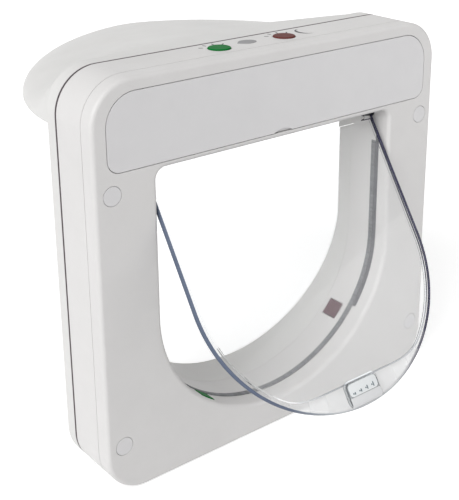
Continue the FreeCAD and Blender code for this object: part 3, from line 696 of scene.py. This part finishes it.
MARK_INK = MouldedPlastic(
    "tab marks", (0.05, 0.1, 0.12), (0.04, 0.08, 0.1), (0.08, 0.12, 0.14), roughness=0.5, rounding=0.05 * MM
)
TAB_CARD = MouldedPlastic(
    "tab insert", (0.76, 0.785, 0.795), (0.73, 0.755, 0.765), (0.8, 0.82, 0.83),
    roughness=0.3, rounding=0.1 * MM,
)
LEAD_SLEEVE = MouldedPlastic(
    "lead sleeve", (0.03, 0.03, 0.033), (0.024, 0.024, 0.027), (0.06, 0.06, 0.06), roughness=0.5
)
CLEAR_PANE = ClearPlastic("clear pane", (0.985, 0.99, 0.992))
# the pane's cut edges and pocket step carry painted light and shade, a different colour on the left, on the
# right and at the foot
CLEAR_EDGE = CutEdge("clear edge", (0.115, 0.14, 0.2), (0.012, 0.01, 0.05), (0.5, 0.52, 0.54), 0.0, 1.05)
CLEAR_STEP = CutEdge("pocket step", (0.9, 0.91, 0.92), (0.45, 0.47, 0.5), (0.4, 0.42, 0.44), 0.9)
# a greyer tint on the rim paints the soft shade seen through its thick plastic
CLEAR_RIM = ClearPlastic("clear rim", (0.94, 0.943, 0.946))
RIM_BANDS = (
    (26.0 * MM, ClearPlastic("foot band", (0.8, 0.802, 0.804), clearness=0.45)),
    (36.0 * MM, ClearPlastic("foot band side", (0.83, 0.832, 0.834), clearness=0.57)),
    (46.0 * MM, ClearPlastic("foot band turn", (0.865, 0.867, 0.869), clearness=0.71)),
    (57.0 * MM, ClearPlastic("foot band end", (0.905, 0.907, 0.909), clearness=0.87)),
)
CLEAR_BARREL = ClearPlastic("clear barrel", (0.99, 0.99, 0.99), 0.02, 0.05, 0.0, 1.002)
CLEAR_TAB = ClearPlastic("clear tab", (0.9, 0.92, 0.93), 0.1, 0.18, 0.02 * MM, 1.49, 0.95)
# painted shade on the tab's side walls, darker at its foot
TAB_EDGE = CutEdge("tab edge", (0.3, 0.32, 0.34), (0.3, 0.32, 0.34), (0.2, 0.21, 0.22), 0.3)
TAB_FOOT = MouldedPlastic(
    "tab foot", (0.68, 0.685, 0.695), (0.65, 0.655, 0.665), (0.74, 0.745, 0.75),
    roughness=0.3, rounding=0.1 * MM,
)
PLATED_STEEL = Metal("plated steel", (0.55, 0.56, 0.58), (0.45, 0.46, 0.48))
DARK_STEEL = Metal("dark steel", (0.3, 0.3, 0.32), (0.22, 0.22, 0.24), 0.3, 0.5)
BRASS = Metal("turned brass", (0.78, 0.56, 0.26), (0.66, 0.46, 0.2))
STRIP_PILE = Pile("draught strip pile", (0.235, 0.24, 0.25), (0.13, 0.135, 0.145), (1.0, 0.12, 1.0))
BAND_GREY = Pile(
    "strip backing", (0.12, 0.12, 0.135), (0.09, 0.09, 0.105), (1.0, 0.3, 1.0), 500.0, 0.05 * MM, 0.6
)
SEAL_FOAM = Pile(
    "seal foam", (0.06, 0.06, 0.064), (0.02, 0.02, 0.022), (1.0, 1.0, 1.0), 1500.0, 0.1 * MM, 0.95
)
# the second colour of each winding is the painted shade in the grooves between turns
RING_WINDING = Winding("aerial winding", (0.66, 0.3, 0.13), (0.25, 0.09, 0.04), (0.0, 1.0, 0.0))
ENTRY_WINDING = Winding("entry coil winding", (0.66, 0.3, 0.13), (0.25, 0.09, 0.04), (0.597, 0.0, 0.802))
EXIT_WINDING = Winding("exit coil winding", (0.66, 0.3, 0.13), (0.25, 0.09, 0.04), (-0.733, 0.0, 0.68))
BOARD = BoardFinish("circuit board")
CELL = CellSleeve("battery sleeve")


class Shelf:
    """Keeps each finish's material, so that it is built once."""

    def __init__(self) -> None:
        """Starts empty."""
        self.made: dict[str, bpy.types.Material] = {}

    def take(self, finish: object) -> bpy.types.Material:
        """Gives a finish's material, built when it is first asked for."""
        if finish.name not in self.made:
            self.made[finish.name] = finish.material()
        return self.made[finish.name]


SHELF = Shelf()


def dress(node: str, finish: object) -> None:
    """Gives a CAD node a finish in place of its plain one.

    Args:
        node: the CAD node's name.
        finish: the finish for its whole surface.
    """
    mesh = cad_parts[node].data
    mesh.materials.clear()
    mesh.materials.append(SHELF.take(finish))
    LOG.info("dressed %s in %s", node, finish.name)


def to_object(name: str, shape: Shape, finishes: list[object], smooth: float = SOFT_ANGLE) -> Piece:
    """Turns a bmesh into an object in the scene.

    Args:
        name: the piece's name.
        shape: the finished bmesh, which is freed.
        finishes: one finish for each material index in use.
        smooth: faces that meet at less than this angle, in radians, are shaded as one.

    Returns:
        The new object.
    """
    bmesh.ops.remove_doubles(shape, verts=shape.verts, dist=MERGE)
    bmesh.ops.recalc_face_normals(shape, faces=shape.faces)
    mesh = bpy.data.meshes.new(name)
    shape.to_mesh(mesh)
    shape.free()
    for finish in finishes:
        mesh.materials.append(SHELF.take(finish))
    mesh.shade_smooth()
    mesh.set_sharp_from_angle(angle=smooth)
    piece = bpy.data.objects.new(name, mesh)
    bpy.context.scene.collection.objects.link(piece)
    return piece


def soften(shape: Shape, geom: list[object], offset: float, segments: int, affect: str = "EDGES") -> dict:
    """Rounds edges or corners.

    Args:
        shape: the bmesh.
        geom: its edges, or its points, to round.
        offset: how far from the edge the rounding starts.
        segments: how many steps it has.
        affect: "EDGES" or "VERTICES".

    Returns:
        What the bevel operator gives.
    """
    return bmesh.ops.bevel(
        shape, geom=geom, offset=offset, segments=segments, profile=0.5, affect=affect, material=-1
    )


def grow(shape: Shape, faces: list[bmesh.types.BMFace]) -> list[bmesh.types.BMVert]:
    """Extrudes faces in place and gives the new points, to be moved."""
    grown = bmesh.ops.extrude_face_region(shape, geom=faces)
    return [v for v in grown["geom"] if isinstance(v, bmesh.types.BMVert)]


def draw_bowl(shape: Shape, segments: int, size: Corner, place: Corner, lowest: float = -1.0) -> None:
    """Draws the lower half of an ellipse that stands in X and Z, for the tunnel's band and the flap.

    Args:
        shape: the bmesh to draw in.
        segments: how many edges the whole ellipse would have.
        size: its half width, 1 and its half height.
        place: its middle.
        lowest: how far down it is kept, from 0 at the middle to -1 at its foot.
    """
    made = bmesh.ops.create_circle(shape, segments=segments, radius=1.0)
    spare = [v for v in made["verts"] if v.co.y > LEVEL or v.co.y < lowest - LEVEL]
    bmesh.ops.delete(shape, geom=spare, context="VERTS")
    turn = Matrix.Rotation(math.pi / 2, 3, "X")
    bmesh.ops.rotate(shape, verts=shape.verts, cent=(0.0, 0.0, 0.0), matrix=turn)
    bmesh.ops.scale(shape, verts=shape.verts, vec=size)
    bmesh.ops.translate(shape, verts=shape.verts, vec=place)


def fit_piece(piece: Piece, body: str, slot: str, *nodes: str) -> None:
    """Puts a finished piece on its body.

    Args:
        piece: the object.
        body: the CAD body that it moves with.
        slot: the record's material slot for the piece; not used.
        nodes: the CAD nodes that it stands for.
    """
    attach(piece, body)
    if nodes:
        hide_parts(*nodes)
    LOG.info("built %s on %s, %d faces", piece.name, body, len(piece.data.polygons))


@dataclass
class DressedNodes:
    """A sub-assembly whose CAD nodes keep their shapes and get their finishes."""

    finishes: dict[str, object] = field(default_factory=dict)

    def build(self) -> None:
        """Dresses each of its CAD nodes."""
        for node, finish in self.finishes.items():
            dress(node, finish)


@dataclass
class Casing(DressedNodes):
    """The two frames, the cover, the seal and the fixings."""

    finishes: dict[str, object] = field(default_factory=lambda: {
        "inner_fascia": WHITE_SHELL,
        "inner_housing": WHITE_SHELL,
        "outer_frame": HOOD_WHITE,
        "cover_panel": WHITE_TRIM,
        "screw_plugs": WHITE_TRIM,
        "door_seal": SEAL_FOAM,
        "draught_strip": STRIP_PILE,
        "fixing_bolts": PLATED_STEEL,
        "shell_screws": PLATED_STEEL,
        "thread_inserts": BRASS,
        "hinge_bushes": DARK_PLASTIC,
        "keeper_magnet": MAGNET_COAT,
    })


@dataclass
class StripBand:
    """The grey backing beside the draught strip, almost flush with the tunnel's wall."""

    half_width: float = 83.4 * MM
    round_height: float = 77.9 * MM
    centre_z: float = 95.6 * MM
    top: float = 161.0 * MM
    low: float = 50.0 * MM
    front: float = -7.6 * MM
    back: float = -5.25 * MM
    stand: float = 0.3 * MM
    depth: float = 0.6 * MM
    segments: int = 192

    def build(self) -> None:
        """Builds the band along both sides, down to the latches."""
        shape = bmesh.new()
        size = (self.half_width - self.stand, 1.0, self.round_height - self.stand)
        floor = (self.low - self.centre_z) / self.round_height
        draw_bowl(shape, self.segments, size, (0.0, self.front, self.centre_z), floor)
        ends = [v for v in shape.verts if abs(v.co.z - self.centre_z) < MERGE]
        for vert in bmesh.ops.extrude_vert_indiv(shape, verts=ends)["verts"]:
            vert.co.z = self.top
        grown = bmesh.ops.extrude_edge_only(shape, edges=shape.edges[:])
        verts = [v for v in grown["geom"] if isinstance(v, bmesh.types.BMVert)]
        bmesh.ops.translate(shape, verts=verts, vec=(0.0, self.back - self.front, 0.0))
        outward = 1 + self.depth / self.round_height
        middle = Matrix.Translation((0.0, 0.0, -self.centre_z))
        verts = grow(shape, shape.faces[:])
        bmesh.ops.scale(shape, verts=verts, vec=(outward, 1.0, outward), space=middle)
        fit_piece(to_object("strip_band", shape, [BAND_GREY]), "frame", "grey_brush")


@dataclass
class Electronics(DressedNodes):
    """The battery bay, the boards, the aerial and the latch coils."""

    finishes: dict[str, object] = field(default_factory=lambda: {
        "battery_tray": WHITE_SHELL,
        "battery_cells": CELL,
        "battery_contacts": PLATED_STEEL,
        "control_board": BOARD,
        "button_board": BOARD,
        "board_chips": CHIP_BLACK,
        "sounder": CHIP_BLACK,
        "button_switches": CHIP_BLACK,
        "board_screws": PLATED_STEEL,
        "aerial_coil": RING_WINDING,
        "entry_coil": ENTRY_WINDING,
        "exit_coil": EXIT_WINDING,
        "entry_plunger": PLATED_STEEL,
        "exit_plunger": PLATED_STEEL,
        "entry_lead": LEAD_SLEEVE,
        "exit_lead": LEAD_SLEEVE,
    })


@dataclass
class Controls:
    """The two buttons, the two latches and the printed marks on top."""

    top: float = 230.0 * MM
    mark_height: float = 0.06 * MM
    button_y: float = 3.7 * MM
    entry_x: float = -28.0 * MM
    exit_x: float = 17.3 * MM
    ray_start: float = 8.6 * MM
    ray_length: float = 2.6 * MM
    ray_width: float = 0.9 * MM
    ray_angles: tuple[float, ...] = (42.0, 75.0, 108.0, 141.0)
    leaf_centre: tuple[float, float] = (-7.6 * MM, 6.2 * MM)
    leaf_size: tuple[float, float] = (6.2 * MM, 4.6 * MM)
    moon_centre: tuple[float, float] = (36.2 * MM, 6.6 * MM)
    moon_radius: float = 6.6 * MM
    moon_shift: float = 1.9 * MM

    def build(self) -> None:
        """Dresses the buttons and latches and adds the marks."""
        dress("entry_button", GREEN_PLASTIC)
        dress("exit_button", RED_PLASTIC)
        dress("entry_latch", GREEN_PLASTIC)
        dress("exit_latch", RED_LATCH)
        for name, x in (("entry_rays", self.entry_x), ("exit_rays", self.exit_x)):
            fit_piece(self.rays(name, x), "frame", "dark_plastic")
        fit_piece(self.leaf(), "frame", "dark_plastic")
        fit_piece(self.moon(), "frame", "dark_plastic")

    def raise_marks(self, shape: Shape) -> None:
        """Gives flat marks their height above the top face."""
        bmesh.ops.translate(shape, verts=grow(shape, shape.faces[:]), vec=(0.0, 0.0, self.mark_height))

    def rays(self, name: str, x: float) -> Piece:
        """Makes the short strokes round the back of a button.

        Args:
            name: the piece's name.
            x: the button's place across the frame.

        Returns:
            The strokes as one object.
        """
        shape = bmesh.new()
        for angle in self.ray_angles:
            made = bmesh.ops.create_grid(shape, x_segments=1, y_segments=1, size=0.5)
            bmesh.ops.scale(shape, verts=made["verts"], vec=(self.ray_length, self.ray_width, 1.0))
            reach = self.ray_start + self.ray_length / 2
            bmesh.ops.translate(shape, verts=made["verts"], vec=(reach, 0.0, 0.0))
            turn = Matrix.Rotation(math.radians(angle), 3, "Z")
            bmesh.ops.rotate(shape, verts=made["verts"], cent=(0.0, 0.0, 0.0), matrix=turn)
        soften(shape, shape.verts[:], self.ray_width * 0.45, 3, "VERTICES")
        bmesh.ops.translate(shape, verts=shape.verts, vec=(x, self.button_y, self.top))
        self.raise_marks(shape)
        return to_object(name, shape, [ICON_INK])

    def leaf(self) -> Piece:
        """Makes the plain leaf-shaped mark between the buttons."""
        shape = bmesh.new()
        made = bmesh.ops.create_circle(shape, cap_ends=True, segments=40, radius=1.0)
        for vert in made["verts"]:
            if vert.co.x < 0:
                vert.co.y *= 1.0 - 0.75 * vert.co.x**2
        across, deep = self.leaf_size
        bmesh.ops.scale(shape, verts=shape.verts, vec=(across, deep, 1.0))
        bmesh.ops.translate(shape, verts=shape.verts, vec=(*self.leaf_centre, self.top))
        self.raise_marks(shape)
        return to_object("leaf_mark", shape, [LEAF_INK])

    def moon(self) -> Piece:
        """Makes the crescent mark at the right."""
        shape = bmesh.new()
        made = bmesh.ops.create_circle(shape, cap_ends=True, segments=64, radius=self.moon_radius)
        for vert in made["verts"]:
            if vert.co.x > 0:
                rise = abs(vert.co.y) / self.moon_radius
                vert.co.x = -math.sqrt(max(0.0, 1.0 - rise**2)) * (self.moon_radius - self.moon_shift)
        bmesh.ops.translate(shape, verts=shape.verts, vec=(*self.moon_centre, self.top))
        self.raise_marks(shape)
        return to_object("moon_mark", shape, [ICON_INK])


class PaneFace(IntEnum):
    """The pane's material indices; the foot's bands follow on from FOOT."""

    CLEAR = 0
    EDGE = 1
    STEP = 2
    RIM = 3
    HIDDEN = 4
    FOOT = 5


@dataclass
class Flap:
    """The clear flap with its hinge barrel and magnet tab, built closed and then swung open."""

    hinge_z: float = 175.9 * MM
    open_angle: float = math.radians(33.6)
    half_width: float = 82.2 * MM
    round_height: float = 76.7 * MM
    centre_z: float = 95.6 * MM
    thickness: float = 3.4 * MM
    pocket_depth: float = 0.3 * MM
    step_width: float = 0.7 * MM
    rim_side: float = 2.2 * MM
    foot_line: float = 33.0 * MM
    foot_blend: float = 7.0 * MM
    edge_round: float = 0.8 * MM
    collar_room: float = 3.1 * MM
    barrel_radius: float = 2.8 * MM
    barrel_half: float = 76.7 * MM
    tab_size: tuple[float, float] = (21.8 * MM, 13.3 * MM)
    tab_low: float = 20.3 * MM
    tab_depth: float = 1.8 * MM
    tab_pad: float = 1.2 * MM
    pad_depth: float = 0.3 * MM
    tab_frame: float = 0.7 * MM
    foot_height: float = 5.6 * MM
    slope_start: float = 21.9 * MM
    foot_reach: float = 88.2 * MM
    air: float = 0.05 * MM
    card_sink: float = 0.3 * MM
    card_depth: float = 0.2 * MM
    segments: int = 160

    def swing(self, shape: Shape) -> None:
        """Turns a closed shape to the angle of the photograph."""
        turn = Matrix.Rotation(-self.open_angle, 3, "X")
        bmesh.ops.rotate(shape, verts=shape.verts, cent=(0.0, 0.0, self.hinge_z), matrix=turn)

    def build(self) -> None:
        """Builds the flap's pieces and dresses its pins and magnet."""
        dress("hinge_pins", DARK_STEEL)
        dress("flap_magnet", MAGNET_COAT)
        fit_piece(self.pane(), "flap", "clear_plastic", "flap_pane")
        fit_piece(self.barrel(), "flap", "clear_plastic")
        fit_piece(self.tab(), "flap", "clear_tab", "magnet_holder")
        fit_piece(self.pad(), "flap", "clear_tab")
        fit_piece(self.card(), "flap", "clear_tab")
        fit_piece(self.tab_foot(), "flap", "clear_tab")
        fit_piece(self.marks(), "flap", "dark_plastic")

    def outline(self, shape: Shape) -> bmesh.types.BMFace:
        """Draws the flap's face: half an ellipse, straight sides, and a step in under each hinge collar.

        Args:
            shape: the bmesh to draw in.

        Returns:
            The face, in the plane Y = 0.
        """
        size = (self.half_width, 1.0, self.round_height)
        draw_bowl(shape, self.segments, size, (0.0, 0.0, self.centre_z))
        ends = [v for v in shape.verts if len(v.link_edges) == 1]
        side_top = self.hinge_z - self.collar_room
        half = self.barrel_half
        for x, z in ((self.half_width, side_top), (half, side_top), (half, self.hinge_z)):
            ends = bmesh.ops.extrude_vert_indiv(shape, verts=ends)["verts"]
            for vert in ends:
                vert.co.x = math.copysign(x, vert.co.x)
                vert.co.z = z
        bmesh.ops.contextual_create(shape, geom=list(ends))
        return bmesh.ops.contextual_create(shape, geom=shape.edges[:])["faces"][0]

    def sink_pocket(self, shape: Shape, face: bmesh.types.BMFace) -> None:
        """Thins the pane inside its rim and above its foot on one side.

        Args:
            shape: the pane.
            face: the large face of that side.
        """
        way = face.normal.copy()
        rim = bmesh.ops.inset_region(shape, faces=[face], thickness=self.rim_side, depth=0.0)
        for side in rim["faces"]:
            middle = side.calc_center_median()
            low = middle.z < self.centre_z
            if low:
                reach = (i for i, band in enumerate(RIM_BANDS, PaneFace.FOOT) if abs(middle.x) < band[0])
                side.material_index = next(reach, PaneFace.RIM)
            else:
                outside = abs(middle.x) > self.barrel_half
                side.material_index = PaneFace.RIM if outside else PaneFace.HIDDEN
        top = self.hinge_z - self.collar_room - self.rim_side
        for vert in face.verts:
            share = min(1.0, max(0.0, 0.5 + (vert.co.z - self.foot_line) / (2 * self.foot_blend)))
            lift = self.foot_blend * share * (1 - share)
            vert.co.z = min(top, self.foot_line * (1 - share) + vert.co.z * share + lift)
        step = bmesh.ops.inset_region(shape, faces=[face], thickness=self.step_width, depth=0.0)
        for side in step["faces"]:
            hidden = side.calc_center_median().z > top - self.step_width
            side.material_index = PaneFace.HIDDEN if hidden else PaneFace.STEP
        bmesh.ops.translate(shape, verts=face.verts[:], vec=way * -self.pocket_depth)

    def pane(self) -> Piece:
        """Makes the clear pane, thick round its edge and at its foot, with painted light and shade on its
        dark cut edges.
        """
        shape = bmesh.new()
        face = self.outline(shape)
        bmesh.ops.translate(shape, verts=grow(shape, [face]), vec=(0.0, self.thickness, 0.0))
        bmesh.ops.translate(shape, verts=shape.verts, vec=(0.0, -self.thickness / 2, 0.0))
        bmesh.ops.recalc_face_normals(shape, faces=shape.faces)
        large = [f for f in shape.faces if abs(f.normal.y) > 0.99]
        rims = list({e for f in large for e in f.edges})
        soften(shape, rims, self.edge_round, 3)
        large = sorted(shape.faces, key=lambda f: f.calc_area())[-2:]
        side_top = self.hinge_z - self.collar_room - 2 * self.edge_round
        for side in shape.faces:
            if side not in large:
                cut = side.calc_center_median().z < side_top
                side.material_index = PaneFace.EDGE if cut else PaneFace.HIDDEN
            if side.normal.z > 0.9:
                side.material_index = PaneFace.FOOT
        for face in large:
            self.sink_pocket(shape, face)
        self.swing(shape)
        finishes = [CLEAR_PANE, CLEAR_EDGE, CLEAR_STEP, CLEAR_RIM, CLEAR_BARREL]
        finishes += [finish for _, finish in RIM_BANDS]
        return to_object("flap_sheet", shape, finishes, PANE_ANGLE)

    def barrel(self) -> Piece:
        """Makes the clear hinge barrel along the top of the pane."""
        shape = bmesh.new()
        bmesh.ops.create_cone(
            shape, cap_ends=True, segments=48, radius1=self.barrel_radius, radius2=self.barrel_radius,
            depth=2 * self.barrel_half,
        )
        caps = [e for e in shape.edges if any(len(f.verts) > 4 for f in e.link_faces)]
        soften(shape, caps, 0.4 * MM, 2)
        bmesh.ops.rotate(
            shape, verts=shape.verts, cent=(0.0, 0.0, 0.0), matrix=Matrix.Rotation(math.pi / 2, 3, "Y")
        )
        bmesh.ops.translate(shape, verts=shape.verts, vec=(0.0, 0.0, self.hinge_z))
        self.swing(shape)
        return to_object("flap_barrel", shape, [CLEAR_BARREL])

    def block(self, shape: Shape, size: Corner, centre: Corner, corner: float, edge: float) -> None:
        """Adds a block with rounded corners, seen along Y, and softened front edges.

        Args:
            shape: the bmesh to add to.
            size: its width, depth and height.
            centre: its middle.
            corner: the radius of its four corners.
            edge: the rounding of its front edges.
        """
        made = bmesh.ops.create_cube(shape, size=1.0)
        bmesh.ops.scale(shape, verts=made["verts"], vec=size)
        bmesh.ops.translate(shape, verts=made["verts"], vec=centre)
        edges = {e for v in made["verts"] for e in v.link_edges}
        upright = [e for e in edges if abs(e.verts[0].co.y - e.verts[1].co.y) > size[1] / 2]
        cut = soften(shape, upright, corner, 5)
        front = centre[1] - size[1] / 2
        near = {v for f in cut["faces"] for v in f.verts if abs(v.co.y - front) < MERGE}
        rim = {e for v in near for e in v.link_edges if all(abs(w.co.y - front) < MERGE for w in e.verts)}
        soften(shape, list(rim), edge, 3)

    def plate(
        self, name: str, finishes: list[object], width: float, low: float, high: float,
        back: float, depth: float, corner: float,
    ) -> Piece:
        """Makes one flat piece of the tab, whose side walls take its second finish.

        Args:
            name: the piece's name.
            finishes: the finish of its face and, where it differs, of its side walls.
            width: its width.
            low: its lower edge.
            high: its upper edge.
            back: how far its back stands in front of the pane.
            depth: its thickness.
            corner: the radius of its corners.

        Returns:
            The piece, swung open.
        """
        shape = bmesh.new()
        y = -self.thickness / 2 - back - depth / 2
        self.block(shape, (width, depth, high - low), (0.0, y, (low + high) / 2), corner, depth * 0.2)
        self.slope_back(shape)
        bmesh.ops.recalc_face_normals(shape, faces=shape.faces)
        for side in shape.faces:
            if abs(side.normal.y) < 0.9 and len(finishes) > 1:
                side.material_index = 1
        self.swing(shape)
        return to_object(name, shape, finishes)

    def slope_back(self, shape: Shape) -> None:
        """Slopes a tab piece's lower front back, so that it comes out no further than the pane's foot."""
        everything = [*shape.verts, *shape.edges, *shape.faces]
        bmesh.ops.bisect_plane(
            shape, geom=everything, plane_co=(0.0, 0.0, self.slope_start), plane_no=(0.0, 0.0, 1.0)
        )
        front = self.thickness / 2 + self.tab_depth
        for vert in shape.verts:
            drop = (self.hinge_z - vert.co.z) * math.sin(self.open_angle)
            room = (self.foot_reach - drop) / math.cos(self.open_angle)
            if vert.co.y < -self.thickness / 2 - self.pad_depth - 3 * self.air:
                vert.co.y += max(0.0, front - room)

    def tab(self) -> Piece:
        """Makes the clear tab that holds the magnet."""
        width, height = self.tab_size
        depth = self.tab_depth - self.pad_depth - 2 * self.air - self.card_sink
        return self.plate(
            "tab_body", [CLEAR_TAB, TAB_EDGE], width, self.tab_low, self.tab_low + height,
            self.pad_depth + 2 * self.air, depth, 2.8 * MM,
        )

    def pad(self) -> Piece:
        """Makes the low clear pad that frames the tab."""
        width, height = self.tab_size
        return self.plate(
            "tab_pad", [CLEAR_TAB, TAB_EDGE], width + 2 * self.tab_pad, self.tab_low,
            self.tab_low + height + self.tab_pad, self.air, self.pad_depth, 3.6 * MM,
        )

    def card(self) -> Piece:
        """Makes the pale insert on the tab's face."""
        width, height = self.tab_size
        return self.plate(
            "tab_insert", [TAB_CARD], width - 2 * self.tab_frame, self.tab_low + self.foot_height,
            self.tab_low + height - self.tab_frame, self.tab_depth - self.card_sink,
            self.card_depth, 2.1 * MM,
        )

    def tab_foot(self) -> Piece:
        """Makes the grey strip below the insert."""
        return self.plate(
            "tab_foot", [TAB_FOOT], self.tab_size[0], self.tab_low,
            self.tab_low + self.foot_height - 0.3 * MM, self.tab_depth - self.card_sink,
            self.card_depth, 0.4 * MM,
        )

    def marks(self) -> Piece:
        """Makes the four small plain marks on the insert, a dot and a stroke each."""
        shape = bmesh.new()
        low = self.tab_low + self.foot_height + 0.9 * MM
        face = -self.thickness / 2 - self.tab_depth + 0.07 * MM
        for step in range(4):
            x = (step - 1.6) * 4.6 * MM
            tall = (1.4 + 0.4 * step) * MM
            middle = low + tall / 2
            stroke = (0.6 * MM, 0.06 * MM, tall)
            dot = (0.8 * MM, 0.06 * MM, 0.8 * MM)
            self.block(shape, stroke, (x + 0.6 * MM, face, middle), 0.2 * MM, 0.01 * MM)
            self.block(shape, dot, (x - 0.5 * MM, face, middle), 0.3 * MM, 0.01 * MM)
        self.swing(shape)
        return to_object("tab_marks", shape, [MARK_INK])


@dataclass
class Studio:
    """The pale floor, the plain light and the camera of the photograph."""

    camera_place: Corner = (-354.56 * MM, -427.93 * MM, 356.98 * MM)
    yaw: float = 0.6871
    pitch: float = 0.328
    lens: float = 75.01
    shift: tuple[float, float] = (-0.06, -0.2)
    ambient: float = 0.56
    sun_from: Corner = (-0.80, -0.30, 0.52)
    sun_power: float = 2.1
    sun_spread: float = math.radians(45.0)
    floor_half: float = 6.0
    floor_glow: float = 0.4
    fill_place: Corner = (0.55, -0.55, 0.15)
    fill_power: float = 0.55
    fill_size: float = 0.6
    fill_aim: Corner = (0.0, 0.0, 0.12)

    def build(self) -> None:
        """Builds the floor, the world, the lamp and the camera."""
        self.floor()
        self.world()
        self.sun()
        self.fill()
        self.camera()

    def floor(self) -> None:
        """Lays the floor, which the camera sees near white while it keeps the shadow."""
        shape = bmesh.new()
        bmesh.ops.create_grid(shape, x_segments=1, y_segments=1, size=self.floor_half)
        mesh = bpy.data.meshes.new("floor")
        shape.to_mesh(mesh)
        shape.free()
        floor = bpy.data.objects.new("floor", mesh)
        bpy.context.scene.collection.objects.link(floor)
        material, tree, shader = new_material("floor white")
        shader.inputs["Base Color"].default_value = (0.86, 0.86, 0.86, 1.0)
        shader.inputs["Roughness"].default_value = 0.9
        shader.inputs["Specular IOR Level"].default_value = 0.1
        shader.inputs["Emission Color"].default_value = (1.0, 1.0, 1.0, 1.0)
        glow = tree.math("MULTIPLY", self.seen(tree), self.floor_glow)
        tree.link(glow, shader.inputs["Emission Strength"])
        mesh.materials.append(material)

    @staticmethod
    def seen(tree: Tree) -> Socket:
        """Gives 1 on rays that the eye sends out, also by gloss or clear pieces, and 0 on light."""
        path = tree.add("ShaderNodeLightPath")
        direct = tree.math("MAXIMUM", path.outputs["Is Camera Ray"], path.outputs["Is Glossy Ray"])
        clear = tree.math("MAXIMUM", direct, path.outputs["Is Transmission Ray"])
        return tree.math("MULTIPLY", clear, tree.math("LESS_THAN", path.outputs["Diffuse Depth"], 0.5))

    def world(self) -> None:
        """Sets a white background over a plain ambient light."""
        world = bpy.data.worlds.new("studio")
        bpy.context.scene.world = world
        world.use_nodes = True
        world.node_tree.nodes.clear()
        tree = Tree(world.node_tree)
        back = tree.add("ShaderNodeBackground")
        out = tree.add("ShaderNodeOutputWorld")
        grey = (self.ambient, self.ambient, self.ambient)
        tree.link(tree.mix(self.seen(tree), grey, (1.0, 1.0, 1.0)), back.inputs["Color"])
        tree.link(back.outputs[0], out.inputs["Surface"])

    def sun(self) -> None:
        """Hangs one wide soft lamp to the left."""
        lamp = bpy.data.lights.new("soft_lamp", "SUN")
        lamp.energy = self.sun_power
        lamp.angle = self.sun_spread
        holder = bpy.data.objects.new("soft_lamp", lamp)
        holder.rotation_euler = Vector(self.sun_from).to_track_quat("Z", "Y").to_euler()
        bpy.context.scene.collection.objects.link(holder)

    def fill(self) -> None:
        """Hangs a weak wide lamp to the right, which lifts the front towards that side."""
        lamp = bpy.data.lights.new("fill_lamp", "AREA")
        lamp.energy = self.fill_power
        lamp.size = self.fill_size
        holder = bpy.data.objects.new("fill_lamp", lamp)
        holder.location = self.fill_place
        away = Vector(self.fill_place) - Vector(self.fill_aim)
        holder.rotation_euler = away.to_track_quat("Z", "Y").to_euler()
        bpy.context.scene.collection.objects.link(holder)

    def camera(self) -> None:
        """Places the camera at the photograph's viewing angle."""
        lens = bpy.data.cameras.new("camera")
        lens.lens = self.lens
        lens.sensor_width = 36.0
        lens.shift_x, lens.shift_y = self.shift
        lens.clip_start = 0.01
        lens.clip_end = 50.0
        eye = bpy.data.objects.new("camera", lens)
        eye.location = self.camera_place
        eye.rotation_euler = (math.pi / 2 - self.pitch, 0.0, -self.yaw)
        bpy.context.scene.collection.objects.link(eye)
        bpy.context.scene.camera = eye


def main() -> None:
    """Builds the scene in order."""
    logging.basicConfig(level=logging.INFO, format="%(name)s: %(message)s")
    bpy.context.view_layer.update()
    bpy.context.scene.view_settings.view_transform = "Standard"
    for part in (Studio(), Casing(), StripBand(), Electronics(), Controls(), Flap()):
        part.build()
        LOG.info("%s done", type(part).__name__)


if __name__ == "__main__":
    main()
